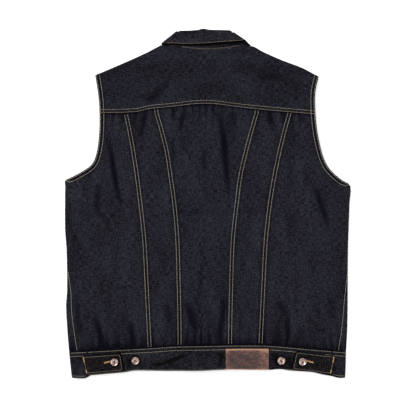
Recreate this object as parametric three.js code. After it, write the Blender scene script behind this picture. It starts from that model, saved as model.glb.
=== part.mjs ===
// A sleeveless denim vest, laid face down on a table so that its back shows.
// Millimetres, +Z up, +Y towards the neck. The wearer's left is on -X.
// The garment is a flattened tube of cloth: the fronts lie on the table, the back lies
// on the fronts, and the two meet in a rounded fold at the sides and the shoulders.
import * as THREE from "three";

// Driving sizes.
const CLOTH = 1.2; // one layer of heavy denim
const BAND = 2.4; // the waistband is two layers
const COLLAR = 1.8; // the collar is two pressed layers
const TAB = 2.0; // a waist tab is two pressed layers
const LABEL = 1.6; // leather
const SEAM_GAP = 0.3; // between pieces that are sewn together
const FOLD_RADIUS = 2.8; // outside of the cloth where back turns to front
const BAND_RADIUS = 3.1; // the same for the waistband
const HEM_TURN = 0.8; // how much thicker a turned armhole edge is
const HEM_TURN_WIDTH = 9;
const FELL_RISE = 0.7; // how far a double stitched seam stands proud
const FELL_HALF_WIDTH = 4.6;
const FRONT_OVERLAP = 18; // each front passes the middle by this much
const BUTTON_RADIUS = 8;
const BUTTON_HEAD = 2.4;
const FRONT_BUTTON = 2.1; // a front button lies between the cloth and the table
const SHANK_RADIUS = 2.6;
const NECK_HALF = 84; // from the middle to the neck end of a shoulder

// Turns rows of numbers into rows with named columns.
function table(columns, rows) {
  return rows.map((row) => Object.fromEntries(columns.map((name, i) => [name, row[i]])));
}

// A smooth curve through two columns of a table, held level past its ends.
function curve(rows, key, value) {
  const sorted = [...rows].sort((a, b) => a[key] - b[key]);
  const k = sorted.map((r) => r[key]);
  const v = sorted.map((r) => r[value]);
  const last = k.length - 1;
  const slope = k.map((_, i) => {
    const a = Math.max(0, i - 1);
    const b = Math.min(last, i + 1);
    return (v[b] - v[a]) / (k[b] - k[a]);
  });
  return (at) => {
    const x = THREE.MathUtils.clamp(at, k[0], k[last]);
    let i = 0;
    while (i < last - 1 && x > k[i + 1]) i += 1;
    const step = k[i + 1] - k[i];
    const t = (x - k[i]) / step;
    const s = 1 - t;
    return (
      v[i] * (1 + 2 * t) * s * s +
      v[i + 1] * (3 - 2 * t) * t * t +
      step * t * s * (slope[i] * s - slope[i + 1] * t)
    );
  };
}

const smooth = (x, low, high) => THREE.MathUtils.smoothstep(x, low, high);
const lerp = THREE.MathUtils.lerp;

// The outline seen from above: the side folds, then the armholes of the back.
const SIDES = table(
  ["y", "left", "right"],
  [
    [243, -212.5, 212],
    [212, -207.5, 205],
    [182, -204.6, 204.4],
    [143, -204.4, 207.5],
    [115, -206.5, 212.5],
    [90, -211.3, 219],
    [73, -219.5, 226.5],
    [61, -235.8, 235.5],
    [50, -256, 247.5],
    [43, -269.6, 257],
    [35, -269.6, 270.6],
    [0, -270, 269.8],
    [-50, -269.8, 268],
    [-90, -267, 266.8],
    [-165, -266, 266.4],
    [-195, -268, 266.2],
    [-240, -265.6, 265.4],
    [-283, -262, 263],
    [-308, -259.5, 262.5],
    [-331, -257, 261.4],
  ],
);
const UNDERARM = { left: 43, right: 35 };
const SHOULDERS = table(
  ["x", "y"],
  [
    [-212.5, 243],
    [-181, 256.5],
    [-145, 272],
    [-111, 287.5],
    [-97, 295],
    [-84, 300],
    [-45, 294],
    [-2, 290.5],
    [40, 293],
    [84, 298],
    [104, 288],
    [140, 272.3],
    [180, 257],
    [212, 240],
  ],
);
// The yoke's folded lower edge, and the waistband's folded upper edge.
const YOKE_EDGE = table(
  ["x", "y"],
  [
    [-206, 170.3],
    [-137, 172.2],
    [-108, 178],
    [-71, 181.5],
    [-21, 187],
    [12, 187],
    [53, 182],
    [94, 177.5],
    [156, 172],
    [206, 167.6],
  ],
);
const WAIST = table(
  ["x", "y"],
  [
    [-264, -282.8],
    [-185, -278.5],
    [-110, -274.4],
    [-60, -271],
    [5, -269.3],
    [80, -268.9],
    [120, -269.8],
    [195, -276.3],
    [265, -282.4],
  ],
);
// The back waistband's lower edge.
const HEM = table(
  ["x", "y"],
  [
    [-240, -327.5],
    [-203, -324.3],
    [-155, -320],
    [-138, -317],
    [-75, -317.6],
    [-15, -317],
    [32, -315],
    [117, -315.6],
    [139, -314.2],
    [156, -316.8],
    [200, -320],
    [217, -324],
    [240, -328],
  ],
);
const FRONT_HEM = table(
  ["x", "y"],
  [
    [-258, -330.8],
    [-230, -331.2],
    [-214, -322.5],
    [-150, -315],
    [0, -311],
    [150, -311.5],
    [216, -321],
    [238, -328],
    [250, -331],
    [262, -330.5],
  ],
);
// Where the front waistbands, which wrap round the sides, end on the back.
const BAND_SEAM = { left: -228, right: 236.5 };
// The front neckline and the deeper cut of the front armhole.
const FRONT_NECK = table(
  ["y", "x"],
  [
    [150, -20],
    [212, -18],
    [215, 10],
    [227, 40],
    [245, 62],
    [264, 75],
    [283, 81],
    [300, 84],
  ],
);
const FRONT_ARMHOLE = table(
  ["y", "deeper"],
  [
    [40, 0],
    [60, 7],
    [100, 15],
    [150, 17],
    [200, 11],
    [236, 3],
    [245, 0],
  ],
);
// The four seams of the back, each between its two rows of stitches.
const BACK_SEAMS = table(
  ["y", "outerLeft", "innerLeft", "innerRight", "outerRight"],
  [
    [172, -154.8, -96.5, 93.5, 156],
    [139, -147.8, -87, 84, 146.7],
    [96, -140, -76.5, 72.5, 136.2],
    [53, -133.6, -69.9, 62.8, 127.4],
    [-3, -126.5, -62.3, 55.3, 118.2],
    [-70, -119.5, -56.8, 48.2, 110.8],
    [-146, -115.4, -54.4, 45.4, 106.6],
    [-222, -111.7, -52.8, 43.6, 103],
    [-275, -109.2, -52.4, 42.8, 100.5],
  ],
);
// How far the side seam has crept round the fold onto the back.
const SIDE_SEAM = table(
  ["y", "left", "right"],
  [
    [60, 0, 0],
    [-95, 0, 0],
    [-120, 4, 3],
    [-180, 12.5, 9.5],
    [-225, 15, 13],
    [-283, 19, 18],
  ],
);
// Folds in the back: a trough from (x0, y0) to (x1, y1), bowed sideways at its middle,
// deepest at the share "peak" of its length.
const FOLDS = table(
  ["x0", "y0", "x1", "y1", "bow", "width", "depth", "peak"],
  [
    [15, 176, 46, 4, 5, 7.5, 2.7, 0.4],
    [-187, 116, -147, -70, -3, 7, 2.5, 0.4],
    [-204, 60, -207, -22, 0, 7, 1.8, 0.6],
    [-207, -12, -185, -48, 0, 6.5, 1.1, 0.4],
    [-253, -12, -214, -28, 0, 6, 0.8, 0.6],
    [-115, 175, -133, 112, -1, 6.5, 2, 0.25],
    [-66, 168, -64, 80, 0, 6, 1.5, 0.35],
    [-44, 174, -49, 92, -3, 7, 2.1, 0.3],
    [-7, 110, -3, 52, 0, 5, 1.3, 0.6],
    [49, 174, 54, 134, 0, 5.5, 1.5, 0.3],
    [112, 174, 130, 140, 0, 6, 1.5, 0.35],
    [178, 166, 184, 148, 0, 6, 1.1, 0.4],
    [206, 34, 238, -50, 2, 7, 2, 0.5],
    [184, 78, 190, 20, 0, 6, 0.9, 0.5],
    [156, 88, 162, 12, 0, 6, 0.7, 0.5],
    [-150, -22, 185, -12, 0, 6, 0.5, 0.5],
    [-252, -155, -238, -268, 0, 7, 1.7, 0.6],
    [-212, -200, -190, -279, 0, 7, 2.4, 0.75],
    [-147, -212, -137, -276, 0, 6.5, 1.9, 0.7],
    [-80, -188, -67, -238, 0, 7, 1.4, 0.5],
    [-41, -180, -18, -252, 0, 8, 2.5, 0.5],
    [35, -155, 21, -268, -3, 7, 2.4, 0.6],
    [-13, -208, 17, -206, 0, 6, 0.9, 0.5],
    [60, -203, 70, -254, 0, 6, 1, 0.5],
    [128, -180, 154, -216, 0, 7, 1.9, 0.6],
    [152, -204, 156, -266, 2, 7, 2.3, 0.4],
    [183, -230, 170, -272, 0, 6, 1.3, 0.6],
    [231, -150, 237, -232, 0, 7, 0.8, 0.5],
    [-119, 185, -61, 241, 0, 9, 1.9, 0.35],
    [92, 239, 147, 241, 0, 8, 1, 0.5],
    [157, 228, 185, 214, 0, 7, 0.7, 0.5],
    [-115, 268, -88, 261, 0, 7, 0.6, 0.5],
  ],
);

const leftSide = curve(SIDES, "y", "left");
const rightSide = curve(SIDES, "y", "right");
const shoulderY = curve(SHOULDERS, "x", "y");
const yokeY = curve(YOKE_EDGE, "x", "y");
const waistY = curve(WAIST, "x", "y");
const hemY = curve(HEM, "x", "y");
const frontHemY = curve(FRONT_HEM, "x", "y");
const seamX = Object.fromEntries(
  ["outerLeft", "innerLeft", "innerRight", "outerRight"].map((n) => [n, curve(BACK_SEAMS, "y", n)]),
);
const sideCreep = { left: curve(SIDE_SEAM, "y", "left"), right: curve(SIDE_SEAM, "y", "right") };

// How high a fold stands at (x, y): below nothing in its trough, a little proud beside it.
function foldHeight(f, x, y) {
  const dx = f.x1 - f.x0;
  const dy = f.y1 - f.y0;
  const length = Math.hypot(dx, dy);
  const along = ((x - f.x0) * dx + (y - f.y0) * dy) / (length * length);
  if (along <= 0 || along >= 1) return 0;
  const bow = 4 * f.bow * along * (1 - along);
  const across = (((x - f.x0) * dy - (y - f.y0) * dx) / length + bow * Math.sign(dy || 1)) / f.width;
  const fade = along < f.peak ? along / f.peak : (1 - along) / (1 - f.peak);
  const shape = (1 - 0.55 * across * across) * Math.exp(-0.62 * across * across);
  return -f.depth * smooth(fade, 0, 1) * shape;
}

// The small gathers where the panels are held by a seam, at an uneven pitch.
function gathers(x, distance, pitch, reach, depth) {
  if (distance < 0 || distance > 2.5 * reach) return 0;
  const lean = x + 0.12 * distance * Math.sin(x / 31);
  const turn = lean / pitch + 0.33 * Math.sin(lean / 37) + 0.2 * Math.sin(lean / 14.3 + 1);
  const uneven = 0.65 + 0.35 * Math.sin(lean / 23 + 2);
  return -depth * uneven * (0.5 + 0.5 * Math.cos(2 * Math.PI * turn)) * Math.exp(-((distance / reach) ** 2));
}

// The front buttons and the collar's points lift what lies over them off the table.
const BUTTON_LIFT = { height: FRONT_BUTTON + SEAM_GAP, flat: 16, reach: 56 };
const LEAF_LIFT = { height: COLLAR + 0.4, y: 236, wide: 102, high: 96, reach: 1.45 };
function lift(x, y) {
  const button = BUTTON_LIFT.height * (1 - smooth(Math.abs(x), BUTTON_LIFT.flat, BUTTON_LIFT.reach));
  const away = Math.hypot(x / LEAF_LIFT.wide, (y - LEAF_LIFT.y) / LEAF_LIFT.high);
  const leaf = LEAF_LIFT.height * (1 - smooth(away, 1, LEAF_LIFT.reach));
  return Math.max(button, leaf);
}
// One front lies on the other at the middle, and the back lies on both.
const OVERLAP = { flat: 22, reach: 60, top: 214, fade: 50 };
function overlapRise(x, y, height) {
  const across = 1 - smooth(Math.abs(x), OVERLAP.flat, OVERLAP.reach);
  return height * across * (1 - smooth(y, OVERLAP.top, OVERLAP.top + OVERLAP.fade));
}
const PANEL_OVERLAP = CLOTH + SEAM_GAP;
const BAND_OVERLAP = BAND + SEAM_GAP;
const BAND_SETTLE = 0.8; // the back waistband sinks a little onto the two fronts

// A seam of two stitch rows stands proud on both sides; a lapped edge on one side only.
const fell = (distance) => FELL_RISE * (1 - smooth(Math.abs(distance), 3, 5.8));
const lap = (distance) => FELL_RISE * (1 - smooth(distance, 7.2, 9.8));
const hemTurn = (distance) => HEM_TURN * (1 - smooth(distance, HEM_TURN_WIDTH - 2, HEM_TURN_WIDTH + 0.5));

// The relief of the back over its level height: lifts, folds and gathers.
const EDGE_FADE = 14;
function backRelief(x, y) {
  const inside = Math.min(x - leftSide(y), rightSide(y) - x);
  const shoulder = Math.abs(x) > NECK_HALF ? shoulderY(x) - y : EDGE_FADE;
  const fade = smooth(Math.min(inside, shoulder), 1, EDGE_FADE);
  const underYoke = yokeY(x) - y;
  const overWaist = y - waistY(x);
  let folds = FOLDS.reduce((sum, f) => sum + foldHeight(f, x, y), 0);
  folds += gathers(x, underYoke < 0 ? -5 * underYoke : underYoke, 17, 15, 1.1);
  folds += gathers(x + 9, overWaist, 19, 20, 1.6);
  folds -= 0.8 * Math.exp(-((overWaist / 8) ** 2));
  const limited = folds < 0 ? 2.7 * Math.tanh(folds / 2.7) : 0.6 * Math.tanh(folds / 0.6);
  return lift(x, y) + overlapRise(x, y, PANEL_OVERLAP) + fade * limited;
}
// The fronts lie flat on the table, the wearer's left one below the right one.
const frontRelief = {
  left: (x, y) => lift(x, y),
  right: (x, y) => lift(x, y) + overlapRise(Math.max(x, 0), y, PANEL_OVERLAP),
};
const bandRelief = {
  back: (x, y) => lift(x, y) + overlapRise(x, y, BAND_OVERLAP - BAND_SETTLE),
  left: (x, y) => lift(x, y),
  right: (x, y) => lift(x, y) + overlapRise(Math.max(x, 0), y, BAND_OVERLAP),
};

// The turn of the cloth round a fold: u is the way along the cloth from the fold's tip,
// above nought on the upper side.
function roundFold(u, radius) {
  const quarter = (Math.PI / 2) * radius;
  const angle = THREE.MathUtils.clamp(u, -quarter, quarter) / radius;
  return {
    inset: radius * (1 - Math.cos(angle)) + Math.max(0, Math.abs(u) - quarter),
    z: radius * (1 + Math.sin(angle)),
    out: Math.cos(angle),
    up: Math.sin(angle),
  };
}
// The way along the cloth for a place that lies that far in from the fold's tip.
const alongFor = (inset, radius) => inset + (Math.PI / 2 - 1) * radius;

// A point of cloth on both faces. The outer face lies on the fold and its relief, moved
// out by rise; the inner face lies one wall behind it.
function clothPoint(x, y, turn, [outX, outY], relief, { rise = 0, wall = CLOTH, upright = false } = {}) {
  const h = 0.5;
  const tilt = upright ? 0 : turn.up * Math.abs(turn.up) / (2 * h);
  const slopeX = (relief(x - h, y) - relief(x + h, y)) * tilt * Math.sign(turn.up);
  const slopeY = (relief(x, y - h) - relief(x, y + h)) * tilt * Math.sign(turn.up);
  const normal = new THREE.Vector3(
    turn.out * outX + slopeX * Math.sign(turn.up),
    turn.out * outY + slopeY * Math.sign(turn.up),
    turn.up,
  ).normalize();
  const outer = new THREE.Vector3(x, y, turn.z + relief(x, y));
  const inner = outer.clone().addScaledVector(normal, -wall);
  outer.addScaledVector(normal, rise);
  return { outer, inner };
}

// Closes a grid of cloth points into one solid: both faces and the four edges.
function closedCloth(grid) {
  const rows = grid.length;
  const cols = grid[0].length;
  const points = ["outer", "inner"].flatMap((face) => grid.flat().map((point) => point[face]));
  const at = (face, i, j) => face * rows * cols + i * cols + j;
  const index = [];
  const quad = (a, b, c, d) => index.push(a, b, c, a, c, d);
  for (let i = 0; i < rows - 1; i += 1) {
    for (let j = 0; j < cols - 1; j += 1) {
      quad(at(0, i, j), at(0, i, j + 1), at(0, i + 1, j + 1), at(0, i + 1, j));
      quad(at(1, i, j), at(1, i + 1, j), at(1, i + 1, j + 1), at(1, i, j + 1));
    }
  }
  for (let j = 0; j < cols - 1; j += 1) {
    quad(at(1, 0, j), at(1, 0, j + 1), at(0, 0, j + 1), at(0, 0, j));
    quad(at(0, rows - 1, j), at(0, rows - 1, j + 1), at(1, rows - 1, j + 1), at(1, rows - 1, j));
  }
  for (let i = 0; i < rows - 1; i += 1) {
    quad(at(1, i + 1, 0), at(1, i, 0), at(0, i, 0), at(0, i + 1, 0));
    quad(at(0, i + 1, cols - 1), at(0, i, cols - 1), at(1, i, cols - 1), at(1, i + 1, cols - 1));
  }
  // A grid listed the other way round is turned, so that its faces look outward.
  let volume = 0;
  for (let i = 0; i < index.length; i += 3) {
    const [a, b, c] = index.slice(i, i + 3).map((k) => points[k]);
    volume += a.dot(b.clone().cross(c));
  }
  const geometry = new THREE.BufferGeometry().setFromPoints(points);
  geometry.setIndex(volume < 0 ? index.reverse() : index);
  return geometry;
}

const steps = (n) => Array.from({ length: n + 1 }, (_, i) => i / n);
// Places from 0 to the width: the near ones listed from each end, evenly between them.
function spread(width, near, far, middle) {
  const first = near.at(-1) ?? 0;
  const last = far.at(-1) ?? 0;
  const between = steps(middle).slice(1, -1).map((s) => lerp(first, width - last, s));
  return [...near, ...between, ...far.toReversed().map((d) => width - d)];
}

// Shares of a panel's height, closer together near the waist and under the yoke.
const PANEL_ROWS = [
  0, 0.014, 0.032, 0.056, 0.09, 0.135, 0.185, 0.24, 0.3, 0.36, 0.42, 0.48, 0.54, 0.6, 0.655, 0.71,
  0.765, 0.82, 0.87, 0.915, 0.955, 1,
];
const half = SEAM_GAP / 2;
const SEAM_NEAR = [0, 3, 5.8];
const TURN_NEAR = [0, 1.4, 2.9, 4.5];
const backBottom = (x) => waistY(x) + half;
const backTop = (x) => yokeY(x) - half;
const FLAT = roundFold(100, FOLD_RADIUS);

// A panel of the back that reaches no fold: the middle one and the two narrow ones.
function backPanel(leftSeam, rightSeam, middle) {
  const grid = PANEL_ROWS.map((t) => {
    const columns = SEAM_NEAR.length * 2 + middle - 1;
    return Array.from({ length: columns }, (_, j) => {
      let [x, y] = [seamX[leftSeam](0), 0];
      let inward = 0;
      let width = 0;
      for (let round = 0; round < 8; round += 1) {
        y = lerp(backBottom(x), backTop(x), t);
        width = seamX[rightSeam](y) - seamX[leftSeam](y) - SEAM_GAP;
        inward = spread(width, SEAM_NEAR, SEAM_NEAR, middle)[j];
        x = seamX[leftSeam](y) + half + inward;
      }
      const rise = fell(Math.min(inward, width - inward));
      return clothPoint(x, y, FLAT, [0, 0], backRelief, { rise, upright: t === 0 });
    });
  });
  return closedCloth(grid);
}

// The outer panel of one side: from the side seam or the armhole to its back seam.
// side is -1 on the left and 1 on the right. Ways along the cloth are from the fold's tip.
function outerPanel(side, middle) {
  const name = side < 0 ? "left" : "right";
  const outline = side < 0 ? leftSide : rightSide;
  const seam = seamX[side < 0 ? "outerLeft" : "outerRight"];
  const underarm = UNDERARM[name];
  const foldEdge = (y) => outline(Math.min(y, underarm));
  const rows = [...PANEL_ROWS, 0.69, 0.735, 0.79].sort((a, b) => a - b);
  const columns = TURN_NEAR.length + SEAM_NEAR.length + middle - 1;
  const grid = rows.map((t) =>
    Array.from({ length: columns }, (_, j) => {
      let [x, y, u] = [0.8 * outline(0), 0, 0];
      for (let round = 0; round < 10; round += 1) {
        y = lerp(backBottom(x), backTop(x), t);
        const cut = Math.abs(foldEdge(y) - outline(y));
        const start = y > underarm ? alongFor(Math.max(cut, FOLD_RADIUS), FOLD_RADIUS) : sideCreep[name](y) + half;
        const end = alongFor(Math.abs(foldEdge(y) - seam(y)) - half, FOLD_RADIUS);
        u = start + spread(end - start, TURN_NEAR, SEAM_NEAR, middle)[j];
        x = foldEdge(y) - side * roundFold(u, FOLD_RADIUS).inset;
      }
      const wall = CLOTH + (y > underarm ? hemTurn(Math.abs(outline(y) - x)) : 0);
      const rise = fell(Math.abs(x - seam(y)) - half);
      return clothPoint(x, y, roundFold(u, FOLD_RADIUS), [side, 0], backRelief, { rise, wall, upright: t === 0 });
    }),
  );
  return closedCloth(grid);
}

// The way a shoulder faces, seen from above.
function shoulderOut(x) {
  const lean = (shoulderY(x + 3) - shoulderY(x - 3)) / 6;
  return new THREE.Vector2(-lean, 1).normalize().toArray();
}

// The yoke covers the shoulder blades and rounds down to the shoulder seams. Its lower
// edge is folded under and laps over the panels below.
const YOKE_LAP = [0, 7.2, 9.8];
const YOKE_HEM = [0, 7, 9.5];
function yoke(middleColumns, middleRows) {
  const columns = YOKE_HEM.length * 2 + middleColumns - 1;
  const rows = YOKE_LAP.length + TURN_NEAR.length + middleRows - 1;
  const quarter = (Math.PI / 2) * FOLD_RADIUS;
  const grid = Array.from({ length: rows }, (_, i) =>
    Array.from({ length: columns }, (_, j) => {
      let x = 0;
      let y = 200;
      let turn = FLAT;
      for (let round = 0; round < 12; round += 1) {
        const width = rightSide(y) - leftSide(y);
        x = leftSide(y) + spread(width, YOKE_HEM, YOKE_HEM, middleColumns)[j];
        const stretch = 1 / shoulderOut(x)[1];
        // At the neck there is no shoulder seam to turn down to, so the turn opens flat.
        const flatten = quarter * (1 - smooth(Math.abs(x), NECK_HALF - 18, NECK_HALF));
        const from = roundFold(flatten + half, FOLD_RADIUS);
        const height = (shoulderY(x) - yokeY(x) - half) / stretch;
        const end = alongFor(height + from.inset, FOLD_RADIUS) - flatten - half;
        const way = spread(end, TURN_NEAR, YOKE_LAP, middleRows)[rows - 1 - i];
        turn = roundFold(flatten + half + way, FOLD_RADIUS);
        y = shoulderY(x) - (turn.inset - from.inset) * stretch - half;
        if (i === 0) y = yokeY(x) + half;
      }
      const toArmhole = Math.min(x - leftSide(y), rightSide(y) - x);
      const wall = CLOTH + hemTurn(toArmhole);
      return clothPoint(x, y, turn, shoulderOut(x), backRelief, { rise: lap(y - yokeY(x)), wall });
    }),
  );
  return closedCloth(grid);
}

// A front: from the side seam, which has crept round onto the back, round the fold and
// across the table to the middle, and up to the shoulder seam and the neckline. Up to the
// underarm its rows are level with those of the back.
const FRONT_LOW = PANEL_ROWS.filter((t) => t < 0.7);
const FRONT_HIGH = [0.07, 0.15, 0.27, 0.4, 0.53, 0.65, 0.75, 0.84, 0.92, 1];
const MIDDLE_NEAR = [0, 18, 38, 58];
function frontPanel(side, middle) {
  const name = side < 0 ? "left" : "right";
  const outline = side < 0 ? leftSide : rightSide;
  const underarm = UNDERARM[name];
  const foldEdge = (y) => outline(Math.min(y, underarm));
  const neck = curve(FRONT_NECK, "y", "x");
  const deeper = curve(FRONT_ARMHOLE, "y", "deeper");
  const middleEdge = (y) => (y < 212 ? -side * FRONT_OVERLAP : side * neck(y));
  const rowCount = FRONT_LOW.length + FRONT_HIGH.length + TURN_NEAR.length;
  const ladder = 7;
  const columns = ladder + MIDDLE_NEAR.length + middle - 1;
  const grid = Array.from({ length: rowCount }, (_, i) =>
    Array.from({ length: columns }, (_, j) => {
      let [x, y, u] = [side * 180, 0, 0];
      let turn = null;
      for (let round = 0; round < 14; round += 1) {
        const top = shoulderY(side * Math.max(Math.abs(x), NECK_HALF)) - half;
        const high = i - FRONT_LOW.length;
        if (high < 0) {
          y = lerp(backBottom(x), backTop(x), FRONT_LOW[i]);
        } else if (high < FRONT_HIGH.length) {
          y = lerp(lerp(backBottom(x), backTop(x), FRONT_LOW.at(-1)), top - 6, FRONT_HIGH[high]);
        } else {
          turn = roundFold(-half - TURN_NEAR[rowCount - 1 - i], FOLD_RADIUS);
          y = top - turn.inset / shoulderOut(x)[1];
        }
        const cut = Math.abs(foldEdge(y) - outline(y)) + deeper(y);
        const hemmed = y > underarm;
        const start = hemmed ? -alongFor(Math.max(cut, FOLD_RADIUS), FOLD_RADIUS) : sideCreep[name](y) - half;
        const end = -alongFor(Math.abs(foldEdge(y) - middleEdge(y)), FOLD_RADIUS);
        const laddered = hemmed ? start - 6 : -4.5;
        if (j === 0) u = start;
        else if (j < ladder) u = lerp(hemmed ? start : Math.min(start, 4.5), laddered, j / (ladder - 1));
        else u = laddered - spread(laddered - end, [0], MIDDLE_NEAR, middle)[j - ladder + 1];
        x = foldEdge(y) - side * roundFold(u, FOLD_RADIUS).inset;
      }
      const relief = u > 0 ? backRelief : frontRelief[name];
      const out = turn ? shoulderOut(x) : [side, 0];
      const around = turn ?? roundFold(u, FOLD_RADIUS);
      return clothPoint(x, y, around, out, relief, { upright: i === 0 || around.up > 0 });
    }),
  );
  return closedCloth(grid);
}

// The waistband at the back, lapped over the panels above it.
function backBand(middle) {
  const left = BAND_SEAM.left + half;
  const right = BAND_SEAM.right - half;
  const level = roundFold(100, BAND_RADIUS);
  const grid = steps(3).map((t) =>
    steps(middle).map((s) => {
      const x = lerp(left, right, s);
      const y = lerp(hemY(x), waistY(x) - half, t);
      return clothPoint(x, y, level, [0, 0], bandRelief.back, { wall: BAND, upright: true });
    }),
  );
  return closedCloth(grid);
}

// A front waistband: it starts on the back, rounds the side and ends at the middle.
function frontBand(side, middle) {
  const name = side < 0 ? "left" : "right";
  const outline = side < 0 ? leftSide : rightSide;
  const turns = [6, 4.9, 3.3, 1.65, 0, -1.65, -3.3, -4.9, -6];
  const grid = steps(2).map((t) =>
    Array.from({ length: turns.length + MIDDLE_NEAR.length + middle + 1 }, (_, j) => {
      let [x, y, u] = [side * 200, -300, 0];
      for (let round = 0; round < 8; round += 1) {
        y = lerp(frontHemY(x), waistY(x) - half, t);
        const start = alongFor(Math.abs(outline(y) - BAND_SEAM[name]) - half, BAND_RADIUS);
        const end = -alongFor(Math.abs(outline(y) + side * FRONT_OVERLAP), BAND_RADIUS);
        if (j < 2) u = lerp(start, turns[0], j / 2);
        else if (j < turns.length + 2) u = turns[j - 2];
        else u = turns.at(-1) - spread(turns.at(-1) - end, [0], MIDDLE_NEAR, middle)[j - turns.length - 1];
        x = outline(y) - side * roundFold(u, BAND_RADIUS).inset;
      }
      const turn = roundFold(u, BAND_RADIUS);
      const relief = u > 0 ? () => 0 : bandRelief[name];
      return clothPoint(x, y, turn, [side, 0], relief, { wall: BAND, upright: true });
    }),
  );
  return closedCloth(grid);
}

// The collar: one strip sewn round the neck, stood up and folded over outward, then
// pressed flat with the garment. A row per section, from the left front end over the back
// to the right front end. neck and fold are the section's ends seen from above; edge is
// where the fall ends, as a share of the way from neck to fold (below nought: past the
// neck); turn is 90 on top, -90 underneath; open lifts the fall's edge.
const COLLAR_SECTIONS = table(
  ["neckX", "neckY", "foldX", "foldY", "edge", "turn", "open"],
  [
    [-9.5, 215.8, -2.5, 232, -2.1, -90, 0],
    [-38.6, 228.8, -21, 247, -1.6, -90, 0],
    [-60.4, 246.4, -36, 263, -1, -90, 0],
    [-73.4, 264.8, -45, 283, -0.6, -90, 0],
    [-79.6, 283, -50, 305, -0.25, -90, 0],
    [-82.2, 300.6, -56, 321.5, -0.1, -90, 0],
    [-82.2, 300.6, -56, 321.5, -0.05, -50, 0],
    [-82.2, 300.6, -56, 321.5, 0, 0, 0],
    [-82.2, 300.6, -56, 321.5, 0.04, 50, 0],
    [-82.2, 300.6, -56, 321.5, 0.05, 90, 0],
    [-67, 298, -45, 325, 0.14, 90, 0.2],
    [-46, 294.8, -31, 326.8, 0.23, 90, 0.4],
    [-24, 292.1, -17, 328.4, 0.27, 90, 0.5],
    [-9, 291.2, -8.5, 330.4, 0.28, 90, 0.6],
    [7, 291.2, 4, 328.6, 0.29, 90, 0.8],
    [24, 292.3, 18, 327.4, 0.32, 90, 1.1],
    [46, 294.5, 32, 326.2, 0.34, 90, 1.4],
    [67, 297.4, 44, 324.8, 0.4, 90, 1.4],
    [81.4, 299, 53, 322.3, 0.55, 90, 0.8],
    [81.4, 299, 53, 322.3, 0.52, 50, 0.4],
    [81.4, 299, 53, 322.3, 0.4, 0, 0],
    [81.4, 299, 53, 322.3, 0.15, -50, 0],
    [81.4, 299, 53, 322.3, -0.1, -90, 0],
    [79.4, 283, 50, 305, -0.25, -90, 0],
    [73.4, 264.8, 45, 283, -0.6, -90, 0],
    [60.4, 246.4, 36, 263, -1, -90, 0],
    [38.6, 228.8, 21, 247, -1.6, -90, 0],
    [9.5, 215.8, 2.5, 232, -2.1, -90, 0],
  ],
);
// Heights of the pressed collar: the middle of the tube, how far the stand's middle lies
// from it, how far the fall's lies beyond that, and how far the side creases bulge.
const COLLAR_TUBE = { middle: 5.3, stand: 2.1, fall: 2.15, bulge: 1.3 };

function collar() {
  const tube = COLLAR_TUBE;
  const bend = tube.fall / 2;
  const grid = COLLAR_SECTIONS.map((section) => {
    const neck = new THREE.Vector3(section.neckX, section.neckY, 0);
    const toFold = new THREE.Vector3(section.foldX, section.foldY, 0).sub(neck);
    const width = toFold.length();
    toFold.normalize();
    const side = Math.sign(section.neckX);
    const outward = new THREE.Vector3(toFold.y, -toFold.x, 0).multiplyScalar(side);
    const theta = THREE.MathUtils.degToRad(section.turn);
    const place = (along, height) =>
      neck.clone()
        .addScaledVector(toFold, along)
        .addScaledVector(outward, Math.cos(theta) * (tube.bulge + height))
        .add(new THREE.Vector3(0, 0, tube.middle + Math.sin(theta) * (tube.stand + height)));
    const row = [];
    const turnAt = width - bend - COLLAR / 2;
    for (const s of steps(3)) {
      row.push({ outer: place(s * turnAt, -COLLAR / 2), inner: place(s * turnAt, COLLAR / 2) });
    }
    for (const s of steps(4).slice(1)) {
      const phi = s * Math.PI;
      const at = (r) => place(turnAt + r * Math.sin(phi), bend - r * Math.cos(phi));
      row.push({ outer: at(bend + COLLAR / 2), inner: at(bend - COLLAR / 2) });
    }
    for (const s of steps(3).slice(1)) {
      const along = lerp(turnAt, section.edge * width, s);
      const height = tube.fall + section.open * s * s;
      row.push({ outer: place(along, height + COLLAR / 2), inner: place(along, height - COLLAR / 2) });
    }
    return row;
  });
  return closedCloth(grid);
}

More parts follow.
